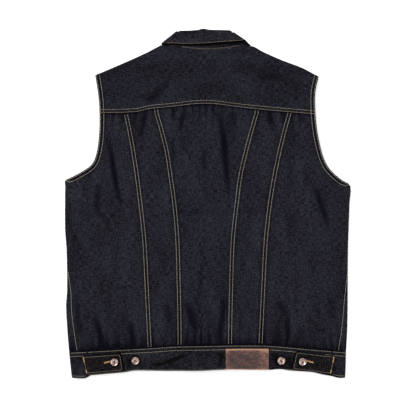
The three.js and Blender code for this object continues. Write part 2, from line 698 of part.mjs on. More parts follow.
// Waist tabs: corners seen from above, each with a keyhole for its button.
const TABS = {
  left: { root: [[-235, -292], [-229, -323]], tip: [[-159, -315], [-165, -287]], hole: [-176, -301], slot: [-198, -304] },
  right: { root: [[241, -289], [235, -322]], tip: [[162, -312], [169, -283]], hole: [180, -300], slot: [202, -302] },
};
const TAB_Z = 2 * BAND_RADIUS + SEAM_GAP;
function tab({ root, tip, hole, slot }) {
  const corners = [...root, ...tip].map(([x, y]) => new THREE.Vector2(x, y));
  const outline = [];
  corners.forEach((corner, i) => {
    const radius = i < 2 ? 1 : 4;
    const before = corners[(i + 3) % 4].clone().sub(corner).setLength(radius);
    const after = corners[(i + 1) % 4].clone().sub(corner).setLength(radius);
    for (const s of steps(3)) {
      const a = corner.clone().add(before).lerp(corner, s);
      const b = corner.clone().lerp(corner.clone().add(after), s);
      outline.push(a.lerp(b, s));
    }
  });
  const shape = new THREE.Shape(outline);
  // The keyhole: a round end for the shank and a slot towards the root.
  const centre = new THREE.Vector2(...hole);
  const way = new THREE.Vector2(...slot).sub(centre);
  const length = way.length();
  const angle = Math.atan2(way.y, way.x);
  const eye = SHANK_RADIUS + 0.5;
  const open = Math.asin(0.8 / eye);
  const rim = steps(12).map((s) => {
    const a = angle + open + s * (2 * Math.PI - 2 * open);
    return new THREE.Vector2(Math.cos(a), Math.sin(a)).multiplyScalar(eye).add(centre);
  });
  const across = new THREE.Vector2(-Math.sin(angle), Math.cos(angle)).multiplyScalar(0.8);
  const end = centre.clone().add(way.setLength(length));
  shape.holes.push(new THREE.Path([...rim, end.clone().sub(across), end.clone().add(across)]));
  return new THREE.ExtrudeGeometry(shape, { depth: TAB, bevelEnabled: false }).translate(0, 0, TAB_Z);
}

// A button: a domed head with a sunk middle on a shank.
function button(x, y, foot, under, segments = 18) {
  const profile = [
    [0, foot],
    [SHANK_RADIUS, foot],
    [SHANK_RADIUS, under],
    [BUTTON_RADIUS - 0.7, under],
    [BUTTON_RADIUS, under + 0.7],
    [BUTTON_RADIUS - 0.4, under + 1.6],
    [BUTTON_RADIUS - 1.6, under + BUTTON_HEAD],
    [BUTTON_RADIUS - 2.6, under + BUTTON_HEAD - 0.5],
    [0, under + BUTTON_HEAD - 0.3],
  ].map(([r, z]) => new THREE.Vector2(r, z));
  return new THREE.LatheGeometry(profile, segments).rotateX(Math.PI / 2).translate(x, y, 0);
}

// A front button's head, face down on the table under the placket.
function frontButton(y) {
  const profile = [
    [0, 0.3],
    [BUTTON_RADIUS - 2.5, 0],
    [BUTTON_RADIUS - 1.2, 0],
    [BUTTON_RADIUS, 1],
    [BUTTON_RADIUS - 0.8, FRONT_BUTTON],
    [0, FRONT_BUTTON],
  ].map(([r, z]) => new THREE.Vector2(r, z));
  return new THREE.LatheGeometry(profile, 16).rotateX(Math.PI / 2).translate(0, y, 0);
}

// The leather label is bent over the waistband, from the band's own height moved out.
const LABEL_CORNERS = { left: 35, right: 116, top: -276.4, bottom: -315.2 };
function label() {
  const { left, right, top, bottom } = LABEL_CORNERS;
  const level = roundFold(100, BAND_RADIUS);
  const grid = [0, 1].map((t) =>
    steps(14).map((s) => {
      const x = lerp(left, right, s);
      const y = lerp(bottom + 0.012 * (x - left), top, t);
      const onBand = clothPoint(x, y, level, [0, 0], bandRelief.back);
      const lift = new THREE.Vector3(0, 0, SEAM_GAP + 0.05);
      return {
        inner: onBand.outer.clone().add(lift),
        outer: onBand.outer.clone().add(lift).setZ(onBand.outer.z + SEAM_GAP + 0.05 + LABEL),
      };
    }),
  );
  return closedCloth(grid);
}

const material = (color, roughness, metalness = 0) =>
  new THREE.MeshStandardMaterial({ color, roughness, metalness });
const DENIM = material(0x262833, 0.9);
const DENIM_DARK = material(0x1f2029, 0.9);
const LEATHER = material(0x6b4a41, 0.6);
const METAL = material(0xb59a92, 0.35, 0.9);

const garment = new THREE.Group();
garment.name = "denim_vest";
function add(name, geometry, finish) {
  const mesh = new THREE.Mesh(geometry, finish);
  mesh.name = name;
  garment.add(mesh);
}

add("back_yoke", yoke(32, 7), DENIM);
add("back_centre_panel", backPanel("innerLeft", "innerRight", 11), DENIM);
add("back_narrow_panel_left", backPanel("outerLeft", "innerLeft", 4), DENIM);
add("back_narrow_panel_right", backPanel("innerRight", "outerRight", 4), DENIM);
add("back_outer_panel_left", outerPanel(-1, 12), DENIM);
add("back_outer_panel_right", outerPanel(1, 12), DENIM);
add("front_left", frontPanel(-1, 6), DENIM);
add("front_right", frontPanel(1, 6), DENIM);
add("collar", collar(), DENIM_DARK);
add("waistband_back", backBand(44), DENIM_DARK);
add("waistband_front_left", frontBand(-1, 6), DENIM_DARK);
add("waistband_front_right", frontBand(1, 6), DENIM_DARK);
add("tab_left", tab(TABS.left), DENIM_DARK);
add("tab_right", tab(TABS.right), DENIM_DARK);
add("label_patch", label(), LEATHER);
const onBand = 2 * BAND_RADIUS + SEAM_GAP;
const overTab = TAB_Z + TAB + SEAM_GAP;
add("tab_button_left", button(-176, -301, onBand, overTab), METAL);
add("tab_button_right", button(180, -300, onBand, overTab), METAL);
add("band_button_left", button(-136, -298, onBand, onBand + 0.8), METAL);
add("band_button_right", button(140, -298, onBand, onBand + 0.8), METAL);
[186, 90, -6, -102, -198, -292].forEach((y, i) => add(`front_button_${i + 1}`, frontButton(y), METAL));

export default garment;
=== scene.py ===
# %% [markdown]
# # A denim vest, laid flat with its back up
# This file builds the looks of a sleeveless denim vest, cell by cell. The vest is a
# flattened tube of cloth: two fronts lie on the table, the back lies on them, and the
# cloth turns round at the sides and the shoulders. The solids that were made before give
# every place and size, so the first cell loads them. All sizes below are in millimetres,
# and only become metres in a mesh.

import math

import bpy
import numpy as np
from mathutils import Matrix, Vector
from mathutils.bvhtree import BVHTree


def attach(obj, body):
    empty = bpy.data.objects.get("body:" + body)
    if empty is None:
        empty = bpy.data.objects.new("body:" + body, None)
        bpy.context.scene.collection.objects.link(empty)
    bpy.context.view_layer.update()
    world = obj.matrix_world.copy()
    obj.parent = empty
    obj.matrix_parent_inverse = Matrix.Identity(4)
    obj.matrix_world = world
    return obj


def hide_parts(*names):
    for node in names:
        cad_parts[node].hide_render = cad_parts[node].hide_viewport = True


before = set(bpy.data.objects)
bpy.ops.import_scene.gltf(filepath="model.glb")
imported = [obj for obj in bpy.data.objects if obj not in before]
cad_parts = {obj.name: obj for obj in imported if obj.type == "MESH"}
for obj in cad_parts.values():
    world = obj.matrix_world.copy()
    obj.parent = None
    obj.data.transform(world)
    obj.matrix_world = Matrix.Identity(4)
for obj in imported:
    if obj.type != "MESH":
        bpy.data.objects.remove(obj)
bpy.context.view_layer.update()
MM = 0.001

# %% [markdown]
# ## Curves from short tables
# A tailor's pattern is a few marked points joined by smooth lines. The same idea works
# here: each line of the vest is a short table, and one helper runs a smooth curve through
# two of its columns. It could be drawn as a Bezier curve object, but a plain function is
# easier to ask for a width at any height, for thousands of points at once.

# %% Curve helpers
def smooth(x, low, high):
    t = np.clip((x - low) / (high - low), 0.0, 1.0)
    return t * t * (3.0 - 2.0 * t)


def table(columns, rows):
    """Rows of numbers become named columns."""
    values = np.array(rows, dtype=float)
    return {name: values[:, i] for i, name in enumerate(columns)}


def curve(rows, key, value):
    """A smooth curve through two columns, held level past its ends."""
    order = np.argsort(rows[key])
    k = rows[key][order]
    v = rows[value][order]
    last = len(k) - 1
    before = np.maximum(np.arange(last + 1) - 1, 0)
    after = np.minimum(np.arange(last + 1) + 1, last)
    slope = (v[after] - v[before]) / (k[after] - k[before])

    def at(x):
        x = np.clip(x, k[0], k[last])
        i = np.clip(np.searchsorted(k, x, side="left") - 1, 0, last - 1)
        step = k[i + 1] - k[i]
        t = (x - k[i]) / step
        s = 1.0 - t
        level = v[i] * (1 + 2 * t) * s * s + v[i + 1] * (3 - 2 * t) * t * t
        return level + step * t * s * (slope[i] * s - slope[i + 1] * t)

    return at


# %% [markdown]
# ## The outline
# Seen from above the vest is its side folds, the two armholes, the sloping shoulders and
# the waistband's lower edge. The left and the right side are not quite alike, as on any
# garment that somebody has put down by hand, so each has a column of its own.

# %% Outline tables
SIDES = table(
    ["y", "left", "right"],
    [
        (243, -212.5, 212),
        (212, -207.5, 205),
        (182, -204.6, 204.4),
        (143, -204.4, 207.5),
        (115, -206.5, 212.5),
        (90, -211.3, 219),
        (73, -219.5, 226.5),
        (61, -235.8, 235.5),
        (50, -256, 247.5),
        (43, -269.6, 257),
        (35, -269.6, 270.6),
        (0, -270, 269.8),
        (-50, -269.8, 268),
        (-90, -267, 266.8),
        (-165, -266, 266.4),
        (-195, -268, 266.2),
        (-240, -265.6, 265.4),
        (-283, -262, 263),
        (-308, -259.5, 262.5),
        (-331, -257, 261.4),
    ],
)
UNDERARM = {"left": 43, "right": 35}
SHOULDERS = table(
    ["x", "y"],
    [
        (-212.5, 243),
        (-181, 256.5),
        (-145, 272),
        (-111, 287.5),
        (-97, 295),
        (-84, 300),
        (-45, 294),
        (-2, 290.5),
        (40, 293),
        (84, 298),
        (104, 288),
        (140, 272.3),
        (180, 257),
        (212, 240),
    ],
)
HEM = table(
    ["x", "y"],
    [
        (-240, -327.5),
        (-203, -324.3),
        (-155, -320),
        (-138, -317),
        (-75, -317.6),
        (-15, -317),
        (32, -315),
        (117, -315.6),
        (139, -314.2),
        (156, -316.8),
        (200, -320),
        (217, -324),
        (240, -328),
    ],
)
FRONT_HEM = table(
    ["x", "y"],
    [
        (-258, -330.8),
        (-230, -331.2),
        (-214, -322.5),
        (-150, -315),
        (0, -311),
        (150, -311.5),
        (216, -321),
        (238, -328),
        (250, -331),
        (262, -330.5),
    ],
)
left_side = curve(SIDES, "y", "left")
right_side = curve(SIDES, "y", "right")
shoulder_y = curve(SHOULDERS, "x", "y")
hem_y = curve(HEM, "x", "y")
front_hem_y = curve(FRONT_HEM, "x", "y")
print("chest", right_side(0.0) - left_side(0.0), "shoulders", right_side(240.0) - left_side(240.0))

# %% [markdown]
# ## The seams
# The back is a yoke over five long panels, set on a waistband. The four seams between the
# panels lean in towards the waist, which is what gives such a vest its taper. The side
# seam has crept round onto the back near the hem, because the fronts are cut a little
# wider than the back there.

# %% Seam tables
YOKE_EDGE = table(
    ["x", "y"],
    [
        (-206, 170.3),
        (-137, 172.2),
        (-108, 178),
        (-71, 181.5),
        (-21, 187),
        (12, 187),
        (53, 182),
        (94, 177.5),
        (156, 172),
        (206, 167.6),
    ],
)
WAIST = table(
    ["x", "y"],
    [
        (-264, -282.8),
        (-185, -278.5),
        (-110, -274.4),
        (-60, -271),
        (5, -269.3),
        (80, -268.9),
        (120, -269.8),
        (195, -276.3),
        (265, -282.4),
    ],
)
BACK_SEAMS = table(
    ["y", "outer_left", "inner_left", "inner_right", "outer_right"],
    [
        (172, -154.8, -96.5, 93.5, 156),
        (139, -147.8, -87, 84, 146.7),
        (96, -140, -76.5, 72.5, 136.2),
        (53, -133.6, -69.9, 62.8, 127.4),
        (-3, -126.5, -62.3, 55.3, 118.2),
        (-70, -119.5, -56.8, 48.2, 110.8),
        (-146, -115.4, -54.4, 45.4, 106.6),
        (-222, -111.7, -52.8, 43.6, 103),
        (-275, -109.2, -52.4, 42.8, 100.5),
    ],
)
SIDE_SEAM = table(
    ["y", "left", "right"],
    [
        (60, 0, 0),
        (-95, 0, 0),
        (-120, 4, 3),
        (-180, 12.5, 9.5),
        (-225, 15, 13),
        (-283, 19, 18),
    ],
)
BAND_SEAM = {"left": -228, "right": 236.5}
yoke_y = curve(YOKE_EDGE, "x", "y")
waist_y = curve(WAIST, "x", "y")
SEAM_NAMES = ["outer_left", "inner_left", "inner_right", "outer_right"]
seam_x = {name: curve(BACK_SEAMS, "y", name) for name in SEAM_NAMES}
side_creep = {name: curve(SIDE_SEAM, "y", name) for name in ("left", "right")}
print("middle panel:", seam_x["inner_right"](0.0) - seam_x["inner_left"](0.0), "mm wide at half height")

# %% [markdown]
# ## Folds
# New, unwashed denim is stiff, so it doesn't ripple: it keeps a few long soft troughs
# where it was folded or worn. Each one gets a row: where it starts and ends, how far it
# bows, how wide and how deep it is, and where along its length it is deepest. A cloth
# simulation could make folds too, but not these ones in these places.

# %% Fold tables
FOLDS = table(
    ["x0", "y0", "x1", "y1", "bow", "width", "depth", "peak"],
    [
        (17, 181, 34, 98, -3, 5.5, 2.3, 0.75),
        (31, 136, 45, -4, 2, 6.5, 2.9, 0.35),
        (-191, 138, -171, 14, -2, 5.5, 3.3, 0.7),
        (-173, 36, -158, -18, 0, 5, 1.8, 0.4),
        (-206, 48, -209, -36, 0, 6, 1.6, 0.5),
        (-236, -276, -112, -268, 0, 6, 1.3, 0.45),
        (-207, -12, -185, -48, 0, 6.5, 1.1, 0.4),
        (-253, -12, -214, -28, 0, 6, 0.8, 0.6),
        (-117, 176, -129, 114, 0, 4.5, 2.0, 0.35),
        (-63, 184, -66, 150, 0, 4, 1.6, 0.4),
        (-65, 132, -63, 70, 0, 5, 1.5, 0.4),
        (-45, 179, -52, 126, 0, 5, 2.2, 0.4),
        (-48, 134, -49, 88, 0, 6, 1.1, 0.4),
        (-7, 110, -3, 52, 0, 5, 1.3, 0.6),
        (49, 174, 54, 134, 0, 5.5, 1.5, 0.3),
        (112, 174, 130, 140, 0, 6, 1.5, 0.35),
        (178, 166, 184, 148, 0, 6, 1.1, 0.4),
        (197, 50, 234, -62, -1.5, 6, 2.4, 0.5),
        (184, 78, 190, 20, 0, 6, 0.9, 0.5),
        (156, 88, 162, 12, 0, 6, 0.7, 0.5),
        (-150, -22, 185, -12, 0, 6, 0.5, 0.5),
        (-252, -155, -238, -268, 0, 7, 1.7, 0.6),
        (-216, -200, -195, -279, 0, 6.5, 2.6, 0.7),
        (-147, -212, -137, -276, 0, 6.5, 1.9, 0.7),
        (-80, -188, -67, -238, 0, 7, 1.4, 0.5),
        (-41, -180, -18, -252, 0, 8, 2.5, 0.5),
        (35, -155, 21, -268, -1, 7, 2.6, 0.6),
        (-13, -208, 17, -206, 0, 6, 0.9, 0.5),
        (60, -203, 70, -254, 0, 6, 1, 0.5),
        (128, -180, 154, -216, 0, 7, 1.9, 0.6),
        (152, -204, 156, -266, 2, 7, 2.3, 0.4),
        (183, -230, 170, -272, 0, 6, 1.3, 0.6),
        (231, -150, 237, -232, 0, 7, 0.8, 0.5),
        (-119, 185, -61, 241, 0, 9, 1.9, 0.35),
        (88, 238, 150, 241, 0, 7, 1.6, 0.5),
        (155, 229, 186, 213, 0, 7, 1.1, 0.5),
        (-115, 268, -88, 261, 0, 7, 0.6, 0.5),
    ],
)
# On the fronts, which nobody sees until the vest is turned over, a few like them.
FRONT_FOLDS = table(
    ["x0", "y0", "x1", "y1", "bow", "width", "depth", "peak"],
    [
        (-205, 60, -150, -60, 4, 8, 0.9, 0.4),
        (-120, 110, -95, -20, -4, 8, 0.8, 0.4),
        (-180, -150, -165, -268, 0, 8, 1.0, 0.7),
        (-90, -190, -80, -265, 0, 7, 0.8, 0.6),
        (200, 62, 160, -50, -4, 8, 0.9, 0.4),
        (115, 120, 100, 10, 3, 8, 0.8, 0.4),
        (185, -140, 160, -266, 0, 8, 1.0, 0.7),
        (88, -200, 84, -262, 0, 7, 0.8, 0.6),
    ],
)
# And on the waistband's back.
BAND_FOLDS = table(
    ["x0", "y0", "x1", "y1", "bow", "width", "depth", "peak"],
    [
        (-114, -308, -70, -302, 0, 3.6, 1.1, 0.6),
        (-86, -305, -29, -284, 1, 3.8, 1.5, 0.4),
        (-152, -283, -147, -318, 0, 4, 0.9, 0.6),
        (30, -276, 22, -314, 0, 5, 0.9, 0.5),
        (126, -276, 132, -314, 0, 5, 0.9, 0.5),
        (152, -279, 158, -316, 0, 4, 0.8, 0.5),
    ],
)


def fold_height(folds, x, y):
    """The troughs of a table, summed: nought or below in them, a little proud beside."""
    total = np.zeros(np.broadcast(x, y).shape)
    for x0, y0, x1, y1, bow, width, depth, peak in zip(*folds.values()):
        dx = x1 - x0
        dy = y1 - y0
        length = math.hypot(dx, dy)
        along = ((x - x0) * dx + (y - y0) * dy) / (length * length)
        inside = (along > 0) & (along < 1)
        a = np.clip(along, 0, 1)
        bend = 4 * bow * a * (1 - a)
        across = (((x - x0) * dy - (y - y0) * dx) / length + bend * (1 if dy >= 0 else -1)) / width
        fade = np.where(a < peak, a / peak, (1 - a) / (1 - peak))
        shape = (1 - 0.55 * across**2) * np.exp(-0.62 * across**2)
        total += np.where(inside, -depth * smooth(fade, 0, 0.75) * shape, 0.0)
    return total


def gathers(x, distance, pitch, reach, depth):
    """Small pleats that run out of a seam, at an uneven pitch."""
    lean = x + 0.12 * distance * np.sin(x / 31)
    turn = lean / pitch + 0.33 * np.sin(lean / 37) + 0.2 * np.sin(lean / 14.3 + 1)
    uneven = 0.65 + 0.35 * np.sin(lean / 23 + 2)
    waves = (0.5 + 0.5 * np.cos(2 * np.pi * turn)) ** 2.5
    near = (distance >= 0) & (distance < 2.5 * reach)
    return np.where(near, -depth * uneven * waves * np.exp(-((distance / reach) ** 2)), 0.0)


print("folds on the back:", len(FOLDS["x0"]), "and on the fronts:", len(FRONT_FOLDS["x0"]))

# %% [markdown]
# ## How high the cloth lies
# Everything on the back is one height map. It starts level, rises over the two fronts'
# overlap, the front buttons and the collar's points underneath, and sinks in the folds.
# Seams where cloth is folded over and stitched twice stand 0.7 mm proud.

# %% Heights of the cloth
CLOTH = 1.2
BAND = 2.4
COLLAR = 1.8
TAB = 2.0
LABEL = 1.6
SEAM_GAP = 0.3
FOLD_RADIUS = 2.8
BAND_RADIUS = 3.1
FRONT_BUTTON = 2.1
FRONT_OVERLAP = 18
NECK_HALF = 84
EDGE_FADE = 14
PANEL_OVERLAP = CLOTH + SEAM_GAP
BAND_OVERLAP = BAND + SEAM_GAP
BAND_SETTLE = 0.8


def lift(x, y):
    button = (FRONT_BUTTON + SEAM_GAP) * (1 - smooth(np.abs(x), 16, 56))
    away = np.hypot(x / 102, (y - 236) / 96)
    return np.maximum(button, (COLLAR + 0.4) * (1 - smooth(away, 1, 1.45)))


def overlap_rise(x, y, height):
    return height * (1 - smooth(np.abs(x), 22, 60)) * (1 - smooth(y, 214, 264))


def soft_waves(x, y):
    """The slight unevenness of cloth that lies loose."""
    a = np.sin(x / 23 + 0.8 * np.sin(y / 41)) * np.sin(y / 34 + 1.3)
    b = np.sin(x / 11 + y / 29 + 2.1) * np.sin(y / 17 - x / 53)
    return 0.22 * a + 0.10 * b


# These heights shape the cloth, and the same values go into the depth attribute, where they are painted
# shade.
def back_folds(x, y):
    under_yoke = yoke_y(x) - y
    over_waist = y - waist_y(x)
    folds = fold_height(FOLDS, x, y)
    from_yoke = np.where(under_yoke < 0, -5 * under_yoke, under_yoke)
    folds += gathers(x, from_yoke, 17, 28, 1.9)
    folds += gathers(x + 4, from_yoke, 9.3, 15, 1.2)
    folds += gathers(x + 9, over_waist, 19, 34, 2.6)
    folds += gathers(x + 2, over_waist, 11.3, 19, 2.0)
    folds -= 0.8 * np.exp(-((over_waist / 8) ** 2)) + 0.3 * np.exp(-((over_waist / 20) ** 2))
    folds += soft_waves(x, y) - 0.2
    return np.where(folds < 0, 2.7 * np.tanh(folds / 2.7), 0.6 * np.tanh(folds / 0.6))


def back_relief(x, y):
    inside = np.minimum(x - left_side(y), right_side(y) - x)
    shoulder = np.where(np.abs(x) > NECK_HALF, shoulder_y(x) - y, EDGE_FADE)
    fade = smooth(np.minimum(inside, shoulder), 1, EDGE_FADE)
    return lift(x, y) + overlap_rise(x, y, PANEL_OVERLAP) + fade * back_folds(x, y)


def front_relief(name):
    def relief(x, y):
        dents = -np.minimum(fold_height(FRONT_FOLDS, x, y), 0)
        rise = overlap_rise(np.maximum(x, 0), y, PANEL_OVERLAP) if name == "right" else 0.0
        return lift(x, y) + rise + dents

    return relief


def band_relief(name):
    def relief(x, y):
        if name == "back":
            sag = 0.5 * fold_height(BAND_FOLDS, x, y)
            return lift(x, y) + overlap_rise(x, y, BAND_OVERLAP - BAND_SETTLE) + sag
        rise = overlap_rise(np.maximum(x, 0), y, BAND_OVERLAP) if name == "right" else 0.0
        return lift(x, y) + rise

    return relief


print("height over the front buttons:", 2 * FOLD_RADIUS + back_relief(np.array(0.0), np.array(90.0)))

# %% [markdown]
# ## Seam sections
# Across a double stitched seam the cloth swells, is pulled down in two narrow grooves by
# the thread, and drops into a ditch where the two panels meet. An edge of cloth is never
# sharp: it rounds off over about half a millimetre. These small shapes catch the light,
# so they are real form in the mesh and not a bump map.

# %% Seam sections
ROW_GAP = 5.7  # between the two rows of a double needle
ROUND = 0.6  # how far a cloth edge rounds off
FELL_RISE = 0.7
HEM_TURN = 0.8
ROWS_FELL = [ROW_GAP / 2]
ROWS_LAP = [1.4, 6.8]
ROWS_HEM = [2.0, 8.1]


def fell(distance):
    return FELL_RISE * (1 - smooth(np.abs(distance), 3.4, 6.4))


def lap(distance):
    return FELL_RISE * (1 - smooth(distance, 8.4, 10.2))


def seam_shadow(distance):
    """Dark in the ditch of a felled seam, and again at the foot of its swelling."""
    ditch = np.exp(-((distance / 1.2) ** 2))
    foot = np.exp(-(((distance - 5.9) / 1.7) ** 2))
    return -1.4 * ditch - 1.0 * foot


def edge_shadow(distance):
    """The same for a turned edge: at the very edge, between its rows and at its foot."""
    between = np.exp(-(((distance - 5.0) / 1.8) ** 2))
    foot = np.exp(-(((distance - 10.3) / 1.6) ** 2))
    return -0.9 * np.exp(-((distance / 0.8) ** 2)) - 2.1 * between - 0.9 * foot


def foot_shadow(distance):
    """Dark along the foot of a step, on the cloth that the step stands on."""
    return -1.5 * np.exp(-(((distance - 1.0) / 2.2) ** 2))


def edge_round(distance):
    short = np.clip(ROUND - distance, 0, ROUND)
    return -(ROUND - np.sqrt(np.maximum(ROUND**2 - short**2, 0)))


def grooves(distance, rows):
    return sum(-0.24 * np.exp(-(((distance - row) / 0.75) ** 2)) for row in rows)


def roping(along, distance, reach=9.0):
    """The small slanting waves that a stitched seam makes when its layers shift."""
    phase = along / 7.3 + 0.6 * np.sin(along / 31) + distance / 9
    return 0.16 * np.sin(2 * np.pi * phase) * np.exp(-((distance / reach) ** 2))


SEAM_NEAR = [0, 0.15, 0.45, 0.9, 1.7, 2.5, 3.2, 3.9, 4.8, 6, 7.4]
LAP_NEAR = [0, 0.15, 0.45, 0.9, 1.4, 2.1, 3.4, 5, 6.4, 7.2, 7.8, 8.6, 9.4, 10.3]
HEM_NEAR = [0, 0.15, 0.45, 0.9, 1.6, 2.3, 3.6, 5.2, 6.6, 7.4, 8, 8.7, 9.6, 11]
TURN_NEAR = [0, 0.15, 0.45, 0.9, 1.6, 2.3, 3, 3.7, 4.5, 6]
print("places across a double seam:", len(SEAM_NEAR))

# %% [markdown]
# ## Turning the cloth round a fold
# Where back turns to front the cloth runs round half a small tube. A way along the cloth
# is counted from the fold's tip, above nought on top, and this helper turns it into how
# far in from the outline and how high it lies.

# %% Round folds
def round_fold(u, radius):
    quarter = np.pi / 2 * radius
    angle = np.clip(u, -quarter, quarter) / radius
    inset = radius * (1 - np.cos(angle)) + np.maximum(0, np.abs(u) - quarter)
    return inset, radius * (1 + np.sin(angle))


def along_for(inset, radius):
    return inset + (np.pi / 2 - 1) * radius


def columns(near, far, middle):
    """Places across a width, each as a + b * width: close together near both ends."""
    first = near[-1] if near else 0.0
    last = far[-1] if far else 0.0
    a = list(near)
    b = [0.0] * len(near)
    start = 1 if near else 0
    stop = middle if far else middle + 1
    for k in range(start, stop):
        a.append(first - (first + last) * k / middle)
        b.append(k / middle)
    for d in reversed(far):
        a.append(-d)
        b.append(1.0)
    return np.array(a), np.array(b)


print("a fold of", FOLD_RADIUS, "mm lies flat after", round(np.pi / 2 * FOLD_RADIUS, 1), "mm of cloth")

# %% [markdown]
# ## From a grid to a shell of cloth
# Every panel is a grid of places. Its normals come from the grid itself. The outer face is
# moved out by the seam's relief, the inner face lies one thickness behind, and the rim
# closes the two, so that each panel is a real thin piece of cloth. The UV map holds
# millimetres along the cloth, which lets the weave follow the panel round a fold. A
# vertex attribute remembers how deep each place lies in a fold or a seam's ditch, and the
# denim paints deep places darker: that is painted shade.

# %% Shell helper
cloth_pieces = {}


def grid_normals(p):
    du = np.gradient(p, axis=1)
    dv = np.gradient(p, axis=0)
    n = np.cross(du, dv)
    return n / np.maximum(np.linalg.norm(n, axis=2, keepdims=True), 1e-9)


def shell_faces(rows, cols):
    k = np.arange(rows * cols).reshape(rows, cols)
    a, b, c, d = k[:-1, :-1], k[:-1, 1:], k[1:, 1:], k[1:, :-1]
    top = np.stack([a, b, c, d], axis=-1).reshape(-1, 4)
    low = np.stack([a, d, c, b], axis=-1).reshape(-1, 4) + rows * cols
    loop = np.concatenate([k[0, :-1], k[:-1, -1], k[-1, :0:-1], k[:0:-1, 0]])
    after = np.roll(loop, -1)
    rim = np.stack([loop + rows * cols, after + rows * cols, after, loop], axis=-1)
    return np.concatenate([top, low, rim])


def mesh_object(name, points, faces, uv=None, depth=None, smooth_angle=50):
    """A named object from points in millimetres, shaded smooth but for sharp edges."""
    mesh = bpy.data.meshes.new(name)
    mesh.from_pydata((points * MM).tolist(), [], faces.tolist())
    if uv is not None:
        layer = mesh.uv_layers.new(name="cloth")
        index = np.empty(len(mesh.loops), dtype=np.int32)
        mesh.loops.foreach_get("vertex_index", index)
        layer.data.foreach_set("uv", (uv[index] * MM).astype(np.float32).ravel())
    if depth is not None:
        attribute = mesh.attributes.new("depth", "FLOAT", "POINT")
        attribute.data.foreach_set("value", depth.astype(np.float32))
    mesh.shade_smooth()
    mesh.set_sharp_from_angle(angle=math.radians(smooth_angle))
    obj = bpy.data.objects.new(name, mesh)
    bpy.context.scene.collection.objects.link(obj)
    return obj


def shell(name, base, rise, wall, uv, depth, facing=1):
    """A closed shell over a grid; facing says whether most of it looks up or down."""
    normal = grid_normals(base)
    if normal[..., 2].mean() * facing < 0:
        normal = -normal
    outer = base + normal * rise[..., None]
    inner = base - normal * wall[..., None]
    rows, cols = base.shape[:2]
    faces = shell_faces(rows, cols)
    r, c = rows // 2, cols // 2
    sense = np.cross(base[r, c + 1] - base[r, c], base[r + 1, c] - base[r, c]) @ normal[r, c]
    if sense < 0:
        faces = faces[:, ::-1]
    points = np.concatenate([outer.reshape(-1, 3), inner.reshape(-1, 3)])
    both = np.concatenate([depth.ravel(), np.zeros(depth.size)])
    print(name, "faces:", len(faces))
    return mesh_object(name, points, faces, np.tile(uv.reshape(-1, 2), (2, 1)), both)


def declare_cloth(obj, node):
    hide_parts(node)
    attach(obj, "root")
    cloth_pieces[node] = obj
    return obj


FRONTS = ["front_left", "front_right"]

# %% [markdown]
# ## The middle and the narrow panels
# These three panels reach no fold. A grid place is where a column, counted in from the
# left seam, meets a row between waist and yoke. Both lines are curved, so the place is
# found by going back and forth between the two a few times until it stays put.

# %% Panels between two seams
HALF = SEAM_GAP / 2
# Rows from waist to yoke, closer together near both.
PANEL_ROWS = columns([0, 0.4, 1, 2, 3.2, 4.8, 6.6], [0, 0.6, 1.6, 3, 5], 165)


def back_panel(name, left, right, middle, node):
    a_row, b_row = PANEL_ROWS
    a_col, b_col = columns(SEAM_NEAR, SEAM_NEAR, middle)
    x = np.zeros((len(a_row), len(a_col))) + seam_x[left](0.0)
    y = np.zeros_like(x)
    for _ in range(8):
        height = yoke_y(x) - waist_y(x) - SEAM_GAP
        y = waist_y(x) + HALF + a_row[:, None] + b_row[:, None] * height
        width = seam_x[right](y) - seam_x[left](y) - SEAM_GAP
        inward = a_col + b_col * width
        x = seam_x[left](y) + HALF + inward
    base = np.stack([x, y, 2 * FOLD_RADIUS + back_relief(x, y)], axis=-1)
    near = np.minimum(inward, width - inward)
    rise = fell(near) + edge_round(near) + grooves(near, ROWS_FELL) + roping(y, near)
    rise += edge_round(y - waist_y(x) - HALF) * 0.5
    wall = np.full_like(x, CLOTH)
    # Painted shade: the depth attribute darkens the folds, the seams' ditches and the foot of the waist and
    # the yoke.
    depth = back_folds(x, y) + seam_shadow(near)
    depth += foot_shadow(y - waist_y(x)) + foot_shadow(yoke_y(x) - y)
    obj = shell(name, base, rise, wall, np.stack([x, y], -1), depth)
    return declare_cloth(obj, node)


back_panel("cloth_centre", "inner_left", "inner_right", 84, "back_centre_panel")
for name, left, right in (("left", "outer_left", "inner_left"), ("right", "inner_right", "outer_right")):
    node = "back_narrow_panel_" + name
    back_panel("cloth_narrow_" + name, left, right, 22, node)

# %% [markdown]
# ## The outer panels
# Each outer panel runs from a back seam to the side. Below the arm it ends at the side
# seam, on or near the fold, and above it at the armhole, where the edge is turned under
# and stitched twice, so the cloth is thicker there.

# %% Panels that reach the side
SIDE_X = 270  # about how far out the sides lie, where the cloth's own coordinates begin
CREEP_STARTS = -95  # below this height the side seam shows on the back


def side_of(name):
    return (-1, left_side) if name == "left" else (1, right_side)


def fold_edge(name, y):
    return side_of(name)[1](np.minimum(y, UNDERARM[name]))


def armhole_distance(name, x, y):
    """How far inside the armhole's edge a place lies."""
    outline = side_of(name)[1]
    lean = (outline(y + 1) - outline(y - 1)) / 2
    return np.abs(outline(y) - x) / np.hypot(1, lean)


